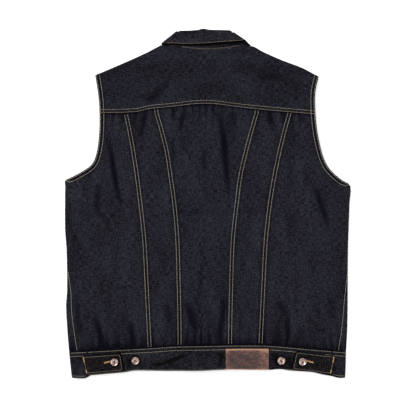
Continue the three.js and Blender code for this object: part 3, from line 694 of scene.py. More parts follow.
def outer_panel(name, middle, node):
    side, outline = side_of(name)
    seam = seam_x["outer_" + name]
    a_row, b_row = PANEL_ROWS
    near_side = sorted(set(TURN_NEAR + [7.4, 8, 8.7, 9.6, 11]))
    a_col, b_col = columns(near_side, SEAM_NEAR, middle)
    x = np.zeros((len(a_row), len(a_col))) + 0.8 * outline(0.0)
    for _ in range(10):
        height = yoke_y(x) - waist_y(x) - SEAM_GAP
        y = waist_y(x) + HALF + a_row[:, None] + b_row[:, None] * height
        cut = np.abs(fold_edge(name, y) - outline(y))
        above = y > UNDERARM[name]
        turned_in = along_for(np.maximum(cut, FOLD_RADIUS), FOLD_RADIUS)
        start = np.where(above, turned_in, side_creep[name](y) + HALF)
        end = along_for(np.abs(fold_edge(name, y) - seam(y)) - HALF, FOLD_RADIUS)
        u = start + a_col + b_col * (end - start)
        inset, level = round_fold(u, FOLD_RADIUS)
        x = fold_edge(name, y) - side * inset
    base = np.stack([x, y, level + back_relief(x, y)], axis=-1)
    near = end - u
    hem = np.where(above, armhole_distance(name, x, y), u - start)
    rows = np.where(above, grooves(hem, ROWS_HEM), 0)
    rows += np.where(y < CREEP_STARTS, grooves(hem, [2.2]), 0)
    rise = fell(near) + edge_round(near) + grooves(near, ROWS_FELL) + roping(y, near)
    rise += edge_round(hem) + rows + roping(y + x, hem, 7.0)
    rise += 0.35 * (1 - smooth(hem, 8.4, 10.0)) * above
    wall = CLOTH + HEM_TURN * above * (1 - smooth(hem, 8.4, 9.8))
    uv = np.stack([side * (SIDE_X - u), y], -1)
    # Painted shade: the depth attribute darkens the folds, the seam's ditch, the armhole's rows and the
    # foot of the waist and the yoke.
    depth = back_folds(x, y) + seam_shadow(near) + edge_shadow(hem) * above
    depth += foot_shadow(y - waist_y(x)) + foot_shadow(yoke_y(x) - y)
    obj = shell("cloth_outer_" + name, base, rise, wall, uv, depth)
    return declare_cloth(obj, node)


outer_panel("left", 68, "back_outer_panel_left")
outer_panel("right", 70, "back_outer_panel_right")

# %% [markdown]
# ## The yoke
# The yoke is the plain piece over the shoulder blades. It rounds down to the shoulder
# seams at its upper edge, and its lower edge is folded under and stitched down on the
# panels with two rows, which makes a low step.

# %% Yoke
def shoulder_out(x):
    lean = (shoulder_y(x + 3) - shoulder_y(x - 3)) / 6
    return 1 / np.hypot(lean, 1)


def yoke(node):
    a_row, b_row = columns(TURN_NEAR, LAP_NEAR, 36)
    a_col, b_col = columns(HEM_NEAR, HEM_NEAR, 128)
    x = np.zeros((len(a_row), len(a_col)))
    y = x + 220.0
    quarter = np.pi / 2 * FOLD_RADIUS
    for _ in range(12):
        width = right_side(y) - left_side(y)
        inward = a_col + b_col * width
        x = left_side(y) + inward
        facing = shoulder_out(x)
        flatten = quarter * (1 - smooth(np.abs(x), NECK_HALF - 18, NECK_HALF))
        from_inset, _ = round_fold(flatten + HALF, FOLD_RADIUS)
        height = (shoulder_y(x) - yoke_y(x) - HALF) * facing
        end = along_for(height + from_inset, FOLD_RADIUS) - flatten - HALF
        way = a_row[:, None] + b_row[:, None] * end
        inset, level = round_fold(flatten + HALF + way, FOLD_RADIUS)
        y = shoulder_y(x) - (inset - from_inset) / facing - HALF
        y[-1] = yoke_y(x[-1]) + HALF
    base = np.stack([x, y, level + back_relief(x, y)], axis=-1)
    hem = np.minimum(armhole_distance("left", x, y), armhole_distance("right", x, y))
    over = y - yoke_y(x) - HALF
    rise = lap(over) + edge_round(over) + grooves(over, ROWS_LAP) + roping(x, over, 12)
    rise += edge_round(hem) + grooves(hem, ROWS_HEM) + 0.35 * (1 - smooth(hem, 8.4, 10.0))
    wall = CLOTH + HEM_TURN * (1 - smooth(hem, 8.4, 9.8))
    # Painted shade: the depth attribute darkens the folds, the armhole's rows and the yoke's lapped lower
    # edge.
    depth = back_folds(x, y) + edge_shadow(hem) - 1.4 * np.exp(-((over / 0.8) ** 2))
    obj = shell("cloth_yoke", base, rise, wall, np.stack([y, x], -1), depth)
    return declare_cloth(obj, node)


yoke("back_yoke")

# %% [markdown]
# ## The fronts
# Nobody sees the fronts in this pose, but the vest can be picked up and turned over. Each
# one starts at the side seam on the back, rounds the fold, lies on the table and ends at
# the middle, the neckline, the shoulder seam and a deeper cut armhole.

# %% Fronts
FRONT_NECK = table(
    ["y", "x"],
    [(150, -20), (212, -18), (215, 10), (227, 40), (245, 62), (264, 75), (283, 81), (300, 84)],
)
FRONT_ARMHOLE = table(
    ["y", "deeper"],
    [(40, 0), (60, 7), (100, 15), (150, 17), (200, 11), (236, 3), (245, 0)],
)
front_neck = curve(FRONT_NECK, "y", "x")
front_deeper = curve(FRONT_ARMHOLE, "y", "deeper")
NECK_OPENS = 212  # up to here a front ends at the placket, and above it at the neckline


def front(name, node):
    side, outline = side_of(name)
    low, high, knee_share, top_room = 110, 40, 0.70, 6
    turns = np.array(TURN_NEAR)
    t_low = np.linspace(0, knee_share, low)[:, None]
    t_high = np.linspace(0, 1, high + 1)[1:, None]
    rows_high = slice(low, low + high)
    rows_top = slice(low + high, None)
    ladder = np.linspace(0, 1, 14)
    lead = len(ladder)
    a_mid, b_mid = columns([0], [0, 0.5, 1.5, 3, 6, 9, 14, 20, 27, 34, 42, 50, 58], 52)
    inset_top, level_top = round_fold(-HALF - turns[::-1], FOLD_RADIUS)
    x = np.zeros((low + high + len(turns), lead + len(a_mid) - 1)) + side * 180.0
    y = np.zeros_like(x)
    for _ in range(14):
        top = shoulder_y(side * np.maximum(np.abs(x), NECK_HALF)) - HALF
        at_waist = waist_y(x) + HALF
        climb = yoke_y(x) - HALF - at_waist
        knee = at_waist + climb * knee_share
        y[:low] = at_waist[:low] + climb[:low] * t_low
        y[rows_high] = knee[rows_high] + (top - top_room - knee)[rows_high] * t_high
        y[rows_top] = top[rows_top] - inset_top[:, None] / shoulder_out(x[rows_top])
        hemmed = y > UNDERARM[name]
        cut = np.abs(fold_edge(name, y) - outline(y)) + front_deeper(y)
        hem_start = -along_for(np.maximum(cut, FOLD_RADIUS), FOLD_RADIUS)
        start = np.where(hemmed, hem_start, side_creep[name](y) - HALF)
        middle_edge = np.where(y < NECK_OPENS,-side * FRONT_OVERLAP, side * front_neck(y))
        end = -along_for(np.abs(fold_edge(name, y) - middle_edge), FOLD_RADIUS)
        after_lead = np.where(hemmed, start - 6, -4.5)
        u = np.empty_like(x)
        u[:, :lead] = start[:, :lead] + (after_lead - start)[:, :lead] * ladder
        spread = a_mid[1:] + b_mid[1:] * (after_lead - end)[:, lead:]
        u[:, lead:] = after_lead[:, lead:] - spread
        inset, level = round_fold(u, FOLD_RADIUS)
        x = fold_edge(name, y) - side * inset
    level[rows_top] = level_top[:, None]
    relief = np.where(u > 0, back_relief(x, y), front_relief(name)(x, y))
    base = np.stack([x, y, level + relief], axis=-1)
    hem = np.where(hemmed, start - u, 50.0)
    edge = np.where(y < NECK_OPENS,u - end, 50.0)
    rise = edge_round(hem) + grooves(hem, ROWS_HEM) + grooves(edge, [2, 26]) + edge_round(edge)
    wall = CLOTH + HEM_TURN * (1 - smooth(hem, 8.4, 9.8))
    # Painted shade in the folds, on the part of the front that lies on the back.
    depth = np.where(u > 0, back_folds(x, y), 0.0)
    uv = np.stack([side * (SIDE_X - u), y], -1)
    obj = shell("cloth_front_" + name, base, rise, wall, uv, depth, facing=-1)
    return declare_cloth(obj, node)


front("left", "front_left")
front("right", "front_right")

# %% [markdown]
# ## The waistband
# The band is two layers sewn round the waist. Its back piece lies between the side
# pieces, which are the ends of the front bands and wrap round onto the back. It lies
# 0.6 mm above the panels, with two rows of stitches at its top and one at its bottom.

# %% Waistband at the back
BAND_TOP_ROWS = [1.4, 7.8]
BAND_LOW_ROW = [1.6]
WRAP_LOW_ROW = 4.2
FRONT_BANDS = ["waistband_front_left", "waistband_front_right"]


def band_pucker(x, t):
    return 0.12 * np.sin(2 * np.pi * (x / 8.1 + 0.5 * np.sin(x / 27))) * (np.exp(-((t / 9) ** 2)))


def back_band(node):
    a_col, b_col = columns([0, 0.3, 0.8, 1.6, 2.6], [0, 0.3, 0.8, 1.6, 2.6], 200)
    a_row, b_row = columns([0, 0.15, 0.45, 0.9, 1.5, 2.2, 2.9, 4], LAP_NEAR, 15)
    x = BAND_SEAM["left"] + HALF + (a_col + b_col * (BAND_SEAM["right"] - BAND_SEAM["left"] - SEAM_GAP))
    x = np.tile(x, (len(a_row), 1))
    height = waist_y(x) - HALF - hem_y(x)
    up = a_row[:, None] + b_row[:, None] * height
    y = hem_y(x) + up
    base = np.stack([x, y, 2 * BAND_RADIUS + band_relief("back")(x, y)], axis=-1)
    ends = np.minimum(x - x[:, :1], x[:, -1:] - x)
    rise = edge_round(up) + edge_round(height - up) + 0.5 * edge_round(ends)
    rise += grooves(up, BAND_LOW_ROW) + grooves(height - up, BAND_TOP_ROWS)
    rise += band_pucker(x, height - up) + band_pucker(x + 3, up) + 0.5 * soft_waves(2 * x, 2 * y)
    # Painted shade in the band's folds, between its top rows and along its top edge.
    between = np.exp(-((((height - up) - 4.6) / 1.6) ** 2))
    top_edge = np.exp(-(((height - up) / 0.8) ** 2))
    depth = 2.5 * fold_height(BAND_FOLDS, x, y) - 0.9 * between - 0.9 * top_edge
    wall = np.full_like(x, BAND)
    obj = shell("band_back", base, rise, wall, np.stack([y, x], -1), depth)
    return declare_cloth(obj, node)


back_band("waistband_back")

# %% [markdown]
# ## The ends of the front bands
# They turn round the side with a slightly larger fold than the panels above, because two
# layers don't fold as tightly as one.

# %% Waistband at the front
def front_band(name, node):
    side, outline = side_of(name)
    a_row, b_row = columns([0, 0.15, 0.45, 0.9, 1.5, 2.2, 2.9, 4], LAP_NEAR, 8)
    turns = np.linspace(6, -6, 25)
    a_mid, b_mid = columns([0], [0, 0.3, 0.8, 1.6, 3, 8, 14, 20, 27, 34, 42, 50, 58], 50)
    back_share = np.linspace(0, 1, 13)[:-1]
    count = len(back_share) + len(turns)
    x = np.zeros((len(a_row), count + len(a_mid) - 1)) + side * 200.0
    for _ in range(8):
        height = waist_y(x) - HALF - front_hem_y(x)
        up = a_row[:, None] + b_row[:, None] * height
        y = front_hem_y(x) + up
        start = along_for(np.abs(outline(y) - BAND_SEAM[name]) - HALF, BAND_RADIUS)
        end = -along_for(np.abs(outline(y) + side * FRONT_OVERLAP), BAND_RADIUS)
        u = np.empty_like(x)
        n = len(back_share)
        u[:, :n] = start[:, :n] + (turns[0] - start[:, :n]) * back_share
        u[:, n:count] = turns
        u[:, count:] = turns[-1] - (a_mid[1:] + b_mid[1:] * (turns[-1] - end[:, count:]))
        inset, level = round_fold(u, BAND_RADIUS)
        x = outline(y) - side * inset
    relief = np.where(u > 0, 0.0, band_relief(name)(x, y))
    base = np.stack([x, y, level + relief], axis=-1)
    ends = np.minimum(start - u, u - end)
    rise = edge_round(up) + edge_round(height - up) + edge_round(ends)
    rise += grooves(up, BAND_LOW_ROW) + grooves(height - up, BAND_TOP_ROWS) + grooves(start - u, [2])
    uv = np.stack([y, side * (SIDE_X - u)], -1)
    obj = shell("band_front_" + name, base, rise, np.full_like(x, BAND), uv, np.zeros_like(x), facing=-1)
    return declare_cloth(obj, node)


front_band("left", "waistband_front_left")
front_band("right", "waistband_front_right")

# %% [markdown]
# ## The collar
# The collar is one strip. It is sewn round the neck, stands up, folds over outward and
# was then pressed flat with the rest. A table gives its sections: one goes through the
# collar every few centimetres, from the left front end over the back to the right front
# end. The side creases are sections at one place that turn from the top to underneath.

# %% Collar
COLLAR_SECTIONS = table(
    ["neckX", "neckY", "foldX", "foldY", "edge", "turn", "open"],
    [
        (-9.5, 215.8, -2.5, 232, -2.1, -90, 0),
        (-38.6, 228.8, -21, 247, -1.6, -90, 0),
        (-60.4, 246.4, -36, 263, -1, -90, 0),
        (-73.4, 264.8, -45, 283, -0.6, -90, 0),
        (-79.6, 283, -50, 305, -0.25, -90, 0),
        (-84, 300.2, -56, 322.8, -0.1, -90, 0),
        (-84, 300.2, -56, 322.8, -0.05, -50, 0),
        (-84, 300.2, -56, 322.8, 0.0, 0, 0),
        (-84, 300.2, -55.6, 323.6, 0.04, 50, 0),
        (-84, 300.2, -54.6, 324.8, 0.07, 90, 0),
        (-68, 298.2, -50.5, 326.2, 0.13, 90, 0.2),
        (-46, 294.8, -34, 326.6, 0.18, 90, 0.5),
        (-24, 292.1, -18, 327.8, 0.245, 90, 0.8),
        (-9, 291.2, -8.5, 330.2, 0.265, 90, 1.0),
        (7, 291.2, 4, 328.3, 0.295, 90, 1.2),
        (24, 292.3, 18, 327.8, 0.315, 90, 1.4),
        (46, 294.5, 33, 327.5, 0.32, 90, 1.6),
        (67, 297.4, 44, 326.6, 0.31, 90, 1.4),
        (80.4, 298.4, 46.8, 321.2, 0.4, 90, 0.9),
        (80.4, 298.4, 46.8, 321.2, 0.38, 50, 0.4),
        (80.4, 298.4, 46.8, 321.2, 0.3, 0, 0),
        (80.4, 298.4, 46.8, 321.2, 0.1, -50, 0),
        (80.4, 298.4, 46.8, 321.2, -0.1, -90, 0),
        (79.4, 283, 50, 305, -0.25, -90, 0),
        (73.4, 264.8, 45, 283, -0.6, -90, 0),
        (60.4, 246.4, 36, 263, -1, -90, 0),
        (38.6, 228.8, 21, 247, -1.6, -90, 0),
        (9.5, 215.8, 2.5, 232, -2.1, -90, 0),
    ],
)
TUBE = {"middle": 5.3, "stand": 2.1, "fall": 2.15, "bulge": 1.3}


def between_sections(per_gap):
    """The sections' columns, with more sections run smoothly in between."""
    count = len(COLLAR_SECTIONS["turn"])
    index = {"i": np.arange(count, dtype=float), **COLLAR_SECTIONS}
    at = np.linspace(0, count - 1, (count - 1) * per_gap + 1)
    return {name: curve(index, "i", name)(at) for name in COLLAR_SECTIONS}


def collar_place(sections, along, height):
    """A place in each section: along from the neck seam, height off the stand."""
    neck = np.stack([sections["neckX"], sections["neckY"]], -1)
    fold = np.stack([sections["foldX"], sections["foldY"]], -1)
    width = np.linalg.norm(fold - neck, axis=1, keepdims=True)
    way = (fold - neck) / width
    side = np.sign(sections["neckX"])[:, None]
    outward = np.stack([way[:, 1], -way[:, 0]], -1) * side
    theta = np.radians(sections["turn"])[:, None]
    flat = neck[:, None, :] + way[:, None, :] * along[..., None]
    flat = flat + outward[:, None, :] * (np.cos(theta) * (TUBE["bulge"] + height))[..., None]
    z = TUBE["middle"] + np.sin(theta) * (TUBE["stand"] + height)
    return np.concatenate([flat, z[..., None]], axis=-1), width[:, 0]


def collar_line(sections, off):
    """One face of the collar: up the stand, round the fold, and back down the fall."""
    _, width = collar_place(sections, np.zeros((len(sections["turn"]), 1)), np.zeros((1, 1)))
    bend = TUBE["fall"] / 2
    turn_at = (width - bend - COLLAR / 2)[:, None]
    edge = (sections["edge"] * width)[:, None]
    up = np.array([0, 0.01, 0.03, 0.07, 0.13, 0.2, 0.3, 0.4, 0.5, 0.6, 0.7, 0.8, 0.9, 1.0])
    half_turn = np.linspace(0, np.pi, 14)[1:]
    down = 1 - np.array([0.92, 0.84, 0.74, 0.64, 0.54, 0.44, 0.35, 0.27, 0.2, 0.15, 0.11])
    last = np.array([5.6, 4.6, 3.6, 2.8, 2.0, 1.3, 0.7, 0.3, 0.0])
    long = np.abs(turn_at - edge)
    share = np.concatenate([down * (1 - 6 / long), 1 - last / long], axis=1)
    along = [turn_at * up, turn_at + (bend + off) * np.sin(half_turn)]
    along.append(turn_at + (edge - turn_at) * share)
    height = [np.zeros_like(along[0]) - off]
    height.append(bend - (bend + off) * np.cos(half_turn) + 0 * turn_at)
    height.append(TUBE["fall"] + sections["open"][:, None] * share**2 + off)
    return np.concatenate(along, axis=1), np.concatenate(height, axis=1)


FALL_STARTS = 27


def collar(node):
    sections = between_sections(8)
    outer, _ = collar_place(sections, *collar_line(sections, COLLAR / 2))
    inner, _ = collar_place(sections, *collar_line(sections, -COLLAR / 2))
    normal = outer - inner
    normal /= np.linalg.norm(normal, axis=-1, keepdims=True)
    rows, cols = outer.shape[:2]
    reach = np.linalg.norm(outer[:, -1:] - outer, axis=-1)
    on_fall = np.arange(cols) >= FALL_STARTS
    swell = 0.25 * np.sin(np.arange(rows) / 5.0)[:, None] * np.clip(reach / 20, 0, 1)
    rise = np.where(on_fall, edge_round(reach) + grooves(reach, [2.0]) + swell, 0.0)
    outer = outer + normal * rise[..., None]
    down = np.linalg.norm(np.diff(outer, axis=1, prepend=outer[:, :1]), axis=-1).cumsum(axis=1)
    round_neck = np.linalg.norm(np.diff(outer[:, 20], axis=0, prepend=outer[:1, 20]), axis=-1).cumsum()
    uv = np.stack([down, np.tile(round_neck[:, None], (1, cols))], axis=-1)
    points = np.concatenate([outer.reshape(-1, 3), inner.reshape(-1, 3)])
    faces = shell_faces(rows, cols)
    # Painted shade: no light gets in between stand and fall, nor into the foot of the right side crease,
    # and the fall's face is painted dark over its last millimetre, where it rounds off under.
    width = np.hypot(sections["foldX"] - sections["neckX"], sections["foldY"] - sections["neckY"])
    way_in = collar_line(sections, -COLLAR / 2)[0]
    from_edge = way_in - (sections["edge"] * width)[:, None]
    dark_from = -4.2 - 2.0 * smooth(sections["neckX"], 20, 66)[:, None]
    hidden = -0.6 * smooth(way_in, 0.5, 2.5) - 2.4 * smooth(from_edge, dark_from, dark_from + 1.8)
    turned = np.exp(-((sections["turn"] / 75) ** 2)) * (sections["neckX"] > 0)
    hidden -= 2.4 * np.maximum(turned, smooth(sections["neckX"], 70, 78))[:, None]
    crease = turned[:, None] * (1 - smooth(collar_line(sections, COLLAR / 2)[0], 12, 16))
    shown = -2.2 * np.exp(-((reach / 1.1) ** 2)) * on_fall - 2.4 * crease
    depth = np.concatenate([shown.ravel(), hidden.ravel()])
    obj = mesh_object("cloth_collar", points, faces, np.tile(uv.reshape(-1, 2), (2, 1)), depth)
    declare_cloth(obj, node)
    print("collar faces:", len(faces))
    return outer, inner, normal


collar_face, collar_inside, collar_normal = collar("collar")

# %% [markdown]
# ## The leather label
# A flat piece of leather is sewn over the band. It follows the band's height, and it is a
# shell as the cloth is. Its "depth" attribute holds how near a place lies to the edge,
# because leather wears pale there. It stays bare.

# %% Label
LABEL_PLACE = {"left": 35, "right": 116, "top": -275.4, "bottom": -314.6, "slope": -0.012}
LABEL_STEPS = [0, 0.15, 0.4, 0.8, 1.4, 2.1, 3, 4.2, 6]


def label(node):
    left, right = LABEL_PLACE["left"], LABEL_PLACE["right"]
    a_col, b_col = columns(LABEL_STEPS, LABEL_STEPS, 60)
    a_row, b_row = columns(LABEL_STEPS, LABEL_STEPS, 26)
    x = np.tile(left + a_col + b_col * (right - left), (len(a_row), 1))
    bottom = LABEL_PLACE["bottom"] + LABEL_PLACE["slope"] * (x - left)
    y = bottom + a_row[:, None] + b_row[:, None] * (LABEL_PLACE["top"] - bottom)
    bend = 0.25 * np.sin(x / 13 + 1) * np.sin(y / 11) + 0.12 * np.sin(x / 5.1 + y / 7)
    level = 2 * BAND_RADIUS + band_relief("back")(x, y) + SEAM_GAP + LABEL + 0.25
    near = np.minimum(np.minimum(x - left, right - x), np.minimum(y - bottom, LABEL_PLACE["top"] - y))
    base = np.stack([x, y, level + bend], axis=-1)
    rise = 1.2 * edge_round(near) + grooves(near, [3.0])
    from_top = LABEL_PLACE["top"] - y
    wear = 1.0 * np.exp(-((from_top / 2.6) ** 2)) + 0.4 * np.exp(-((from_top / 9) ** 2))
    wear += 1.1 * np.exp(-(((y - bottom) / 1.8) ** 2)) + 0.3 * np.exp(-near / 1.5)
    wear += 0.45 * smooth(x, right - 26, right - 8) + 0.3 * (1 - smooth(x, left + 2, left + 12))
    obj = shell("label_leather", base, rise, np.full_like(x, LABEL - 0.2), np.stack([x, y], -1), wear)
    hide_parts(node)
    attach(obj, "root")
    return obj


label_leather = label("label_patch")

# %% [markdown]
# ## The waist tabs
# A tab is two layers of denim turned and pressed, with a round point and a keyhole for its
# button. A filled 2D curve makes such a plate with rounded edges in one go, the keyhole
# being a second loop inside the first. It is then remeshed into small even faces, so that
# the stitched edge can be pressed in.

# %% Tab outlines
TABS = {
    "left": {
        "root": [(-236, -290), (-229.5, -323.2)],
        "tip": [(-159.3, -316.8), (-164.2, -285)],
        "hole": (-175.7, -300.4),
        "slot": (-194.4, -301.8),
        "lean": -1.0,
    },
    "right": {
        "root": [(241, -289.8), (234.5, -323.5)],
        "tip": [(161, -313.6), (168.4, -281.2)],
        "hole": (180.3, -299.6),
        "slot": (200.2, -301.2),
        "lean": 1.0,
    },
}
TAB_LOW = 2 * BAND_RADIUS + SEAM_GAP
TAB_ROW = 1.8  # how far inside its edge a tab is stitched
EYE_RADIUS = 3.1
SLOT_HALF = 0.8
SLOT_TAPER = 0.45


def tab_outline(shape, inward=0.0):
    """The corners, each rounded off, as one loop of points."""
    corners = np.array(shape["root"] + shape["tip"], dtype=float)
    middle = corners.mean(axis=0)
    loop = []
    for i, corner in enumerate(corners):
        radius = 1.5 if i < 2 else 5.0
        before = corners[i - 1] - corner
        after = corners[(i + 1) % 4] - corner
        a = corner + before / np.linalg.norm(before) * radius
        b = corner + after / np.linalg.norm(after) * radius
        for t in np.linspace(0, 1, 6):
            loop.append((1 - t) ** 2 * a + 2 * t * (1 - t) * corner + t * t * b)
    loop = np.array(loop)
    if inward:
        ahead = np.roll(loop, -1, axis=0) - np.roll(loop, 1, axis=0)
        side = np.stack([-ahead[:, 1], ahead[:, 0]], -1) / np.linalg.norm(ahead, axis=1, keepdims=True)
        side *= np.sign(((middle - loop) * side).sum(axis=1, keepdims=True))
        loop = loop + side * inward
    return loop


def keyhole(shape, grow=0.0):
    """A round eye and a tapered slot, which the button's pull has turned to the eye's upper side."""
    centre = np.array(shape["hole"], dtype=float)
    way = np.array(shape["slot"]) - centre
    angle = math.atan2(way[1], way[0])
    eye = EYE_RADIUS + grow
    half = SLOT_HALF + grow
    gape = math.asin(half / eye)
    turn = angle + shape["lean"] + gape + np.linspace(0, 1, 20) * (2 * np.pi - 2 * gape)
    rim = centre + eye * np.stack([np.cos(turn), np.sin(turn)], -1)
    across = half * np.array([-math.sin(angle), math.cos(angle)])
    end = centre + way * (1 + 0.4 * grow / np.linalg.norm(way))
    return np.concatenate([rim, [end - across * SLOT_TAPER, end + across * SLOT_TAPER]])


def distance_to(loop, points):
    """The shortest way from each point to a closed loop, both seen from above."""
    best = np.full(len(points), 1e9)
    for a, b in zip(loop, np.roll(loop, -1, axis=0)):
        t = np.clip(((points - a) @ (b - a)) / max((b - a) @ (b - a), 1e-9), 0, 1)
        best = np.minimum(best, np.linalg.norm(points - a - t[:, None] * (b - a), axis=1))
    return best


print("tab length:", np.ptp(tab_outline(TABS["left"])[:, 0]))

# %% [markdown]
# ## From an outline to a tab
# Blender fills a flat curve and rounds its rim with a bevel, which is quicker than facing
# the plate by hand. A Remesh modifier then gives it a skin of small square faces, which
# the groove of the stitches and the dent round the keyhole need to be pressed into.

# %% Waist tabs
def plate(name, loops, thick, bevel):
    line = bpy.data.curves.new(name, "CURVE")
    line.dimensions = "2D"
    line.fill_mode = "BOTH"
    line.extrude = (thick / 2 - bevel) * MM
    line.bevel_depth = bevel * MM
    line.bevel_resolution = 2
    line.offset = -bevel * MM
    for loop in loops:
        spline = line.splines.new("POLY")
        spline.points.add(len(loop) - 1)
        for point, (x, y) in zip(spline.points, loop):
            point.co = (x * MM, y * MM, 0, 1)
        spline.use_cyclic_u = True
    obj = bpy.data.objects.new(name, line)
    bpy.context.scene.collection.objects.link(obj)
    return obj


def fixed_mesh(obj, *modifiers):
    """The points and faces of an object once its modifiers are worked out; it is then removed."""
    for kind, settings in modifiers:
        modifier = obj.modifiers.new(kind, kind)
        for key, value in settings.items():
            setattr(modifier, key, value)
    mesh = bpy.data.meshes.new_from_object(obj.evaluated_get(bpy.context.evaluated_depsgraph_get()))
    points = np.empty(len(mesh.vertices) * 3)
    mesh.vertices.foreach_get("co", points)
    faces = [list(face.vertices) for face in mesh.polygons]
    bpy.data.objects.remove(obj)
    return points.reshape(-1, 3) / MM, faces


def tab(name, node):
    shape = TABS[name]
    outline = tab_outline(shape)
    blank = plate("blank", [outline, keyhole(shape)], TAB, 0.55)
    fine = {"mode": "VOXEL", "voxel_size": 0.62 * MM, "use_smooth_shade": True}
    points, faces = fixed_mesh(blank, ("WELD", {"merge_threshold": 0.01 * MM}), ("REMESH", fine))
    inside = distance_to(outline, points[:, :2])
    from_hole = distance_to(keyhole(shape), points[:, :2])
    upper = points[:, 2] > 0.2
    way = np.array(shape["slot"], dtype=float) - shape["hole"]
    way /= np.linalg.norm(way)
    along = (points[:, :2] - shape["hole"]) @ way
    across = (points[:, :2] - shape["hole"]) @ np.array([-way[1], way[0]])
    pressed = 1.4 * grooves(inside, [TAB_ROW]) - 0.25 * np.exp(-((from_hole / 2) ** 2))
    points[:, 2] += np.where(upper, pressed, 0)
    points[:, 2] += 0.25 * np.sin(along / 9) * np.sin(across / 12 + 1) + 0.5 * smooth(-along, 4, 18)
    points[:, 2] += TAB_LOW + TAB / 2 + 0.3
    uv = np.stack([across, along], axis=-1)
    # Painted shade along the tab's rounded edge.
    depth = -1.8 * (1 - smooth(inside, 0.3, 1.3))
    obj = mesh_object("cloth_tab_" + name, points, np.array(faces, dtype=object), uv, depth)
    print(obj.name, "faces:", len(faces))
    return declare_cloth(obj, node)


for name in TABS:
    tab(name, "tab_" + name)

# %% [markdown]
# ## Buttons
# A jeans button is a stamped metal cap: a rolled rim, a sunk ring and a low dome in the
# middle, on a shank through the cloth. That is a turned shape, so its profile is spun. The
# solids of the buttons are right but coarse, and these stand exactly on them.

# %% Buttons
SHANK_RADIUS = 2.6
BAND_BUTTONS = {"left": (-136, -298), "right": (140, -298)}
BUTTON_PROFILE = table(
    ["r", "z"],
    [
        (2.6, -0.2),
        (7.0, 0.0),
        (7.55, 0.12),
        (7.9, 0.5),
        (8.0, 1.0),
        (7.85, 1.5),
        (7.45, 2.0),
        (6.9, 2.32),
        (6.3, 2.38),
        (5.8, 2.2),
        (5.4, 1.85),
        (5.1, 1.6),
        (4.7, 1.52),
        (4.0, 1.62),
        (3.0, 1.85),
        (2.0, 1.98),
        (1.3, 2.0),
        (1.0, 1.82),
        (0.6, 1.7),
        (0.0, 1.68),
    ],
)


def turned(radius, height, sides=56):
    """A profile spun round its axis, with a flat cap at both ends."""
    turn = np.linspace(0, 2 * np.pi, sides, endpoint=False)
    ring = np.stack([np.cos(turn), np.sin(turn)], -1)
    count = len(radius)
    level = np.tile(height[:, None, None], (1, sides, 1))
    points = np.concatenate([radius[:, None, None] * ring, level], -1).reshape(-1, 3)
    k = np.arange(count * sides).reshape(count, sides)
    after = np.roll(k, -1, axis=1)
    sides_faces = np.stack([k[:-1], after[:-1], after[1:], k[1:]], -1).reshape(-1, 4).tolist()
    caps = [k[0][::-1].tolist(), k[-1].tolist()]
    return points, sides_faces + caps


metal_pieces = []


def metal_piece(name, node, points, faces, smooth_angle=35):
    out = np.hypot(*(points[:, :2] - points[:, :2].mean(axis=0)).T)
    dirt_and_rim_shadow = 0.85 * (1 - smooth(out, 1.4, 3.4)) + 0.5 * np.exp(-(((out - 5.2) / 0.5) ** 2))
    # Painted shadow: the outer side of the rim is marked past 1, which the metal turns near black.
    dirt_and_rim_shadow += 2.0 * smooth(out, 6.6, 7.4)
    obj = mesh_object(name, points, np.array(faces, dtype=object), None, dirt_and_rim_shadow, smooth_angle)
    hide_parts(node)
    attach(obj, "root")
    metal_pieces.append(obj)
    return obj


def button(name, node, x, y, foot, under):
    radius = np.concatenate([[SHANK_RADIUS, SHANK_RADIUS], BUTTON_PROFILE["r"][1:-1], [0.02]])
    height = np.concatenate([[foot, under - 0.1], under + BUTTON_PROFILE["z"][1:]])
    points, faces = turned(radius, height)
    return metal_piece(name, node, points + (x, y, 0), faces)


on_band = TAB_LOW
over_tab = TAB_LOW + TAB + SEAM_GAP
for name in TABS:
    x, y = TABS[name]["hole"]
    button("button_on_tab_" + name, "tab_button_" + name, x, y, on_band, over_tab)
for name, (x, y) in BAND_BUTTONS.items():
    button("button_on_band_" + name, "band_button_" + name, x, y, on_band, on_band + 0.8)


def front_button(name, node, y):
    """The head lies face down on the table."""
    radius = np.array([0.02, 5.0, 6.2, 7.1, 7.7, 8.0, 7.9, 7.4, 0.02])
    height = np.array([0.25, 0.25, 0.0, 0.1, 0.45, 1.0, 1.6, FRONT_BUTTON, FRONT_BUTTON])
    points, faces = turned(radius, height, 40)
    return metal_piece(name, node, points + (0, y, 0), faces)


for i, y in enumerate((186, 90, -6, -102, -198, -292), start=1):
    front_button(f"button_front_{i}", f"front_button_{i}", y)
print("buttons:", len(metal_pieces))

# %% [markdown]
# ## Where the tabs and the buttons keep the light off
# A tab's point, a button's head and the collar's left end stand a little off what they
# lie on, and the crack below them is nearly black. Rendered light alone leaves it too
# pale, because the real pieces press into the cloth, so the places near an edge are
# marked deeper, and the denim paints them dark: that is painted shadow.

# %% Shadows on the band and the tabs
def paint_shade(node, where):
    """Adds painted shade to the depth that a cloth piece keeps at each of its points."""
    mesh = cloth_pieces[node].data
    points = np.empty(len(mesh.vertices) * 3)
    mesh.vertices.foreach_get("co", points)
    values = np.empty(len(mesh.vertices))
    mesh.attributes["depth"].data.foreach_get("value", values)
    values += where(points.reshape(-1, 3)[:, :2] / MM)
    mesh.attributes["depth"].data.foreach_set("value", values)


# A painted shadow ring just outside a button's rim.
def round_button(places, centre):
    away = np.linalg.norm(places - centre, axis=1)
    return -2.4 * np.exp(-(((away - 8.8) / 2.0) ** 2))


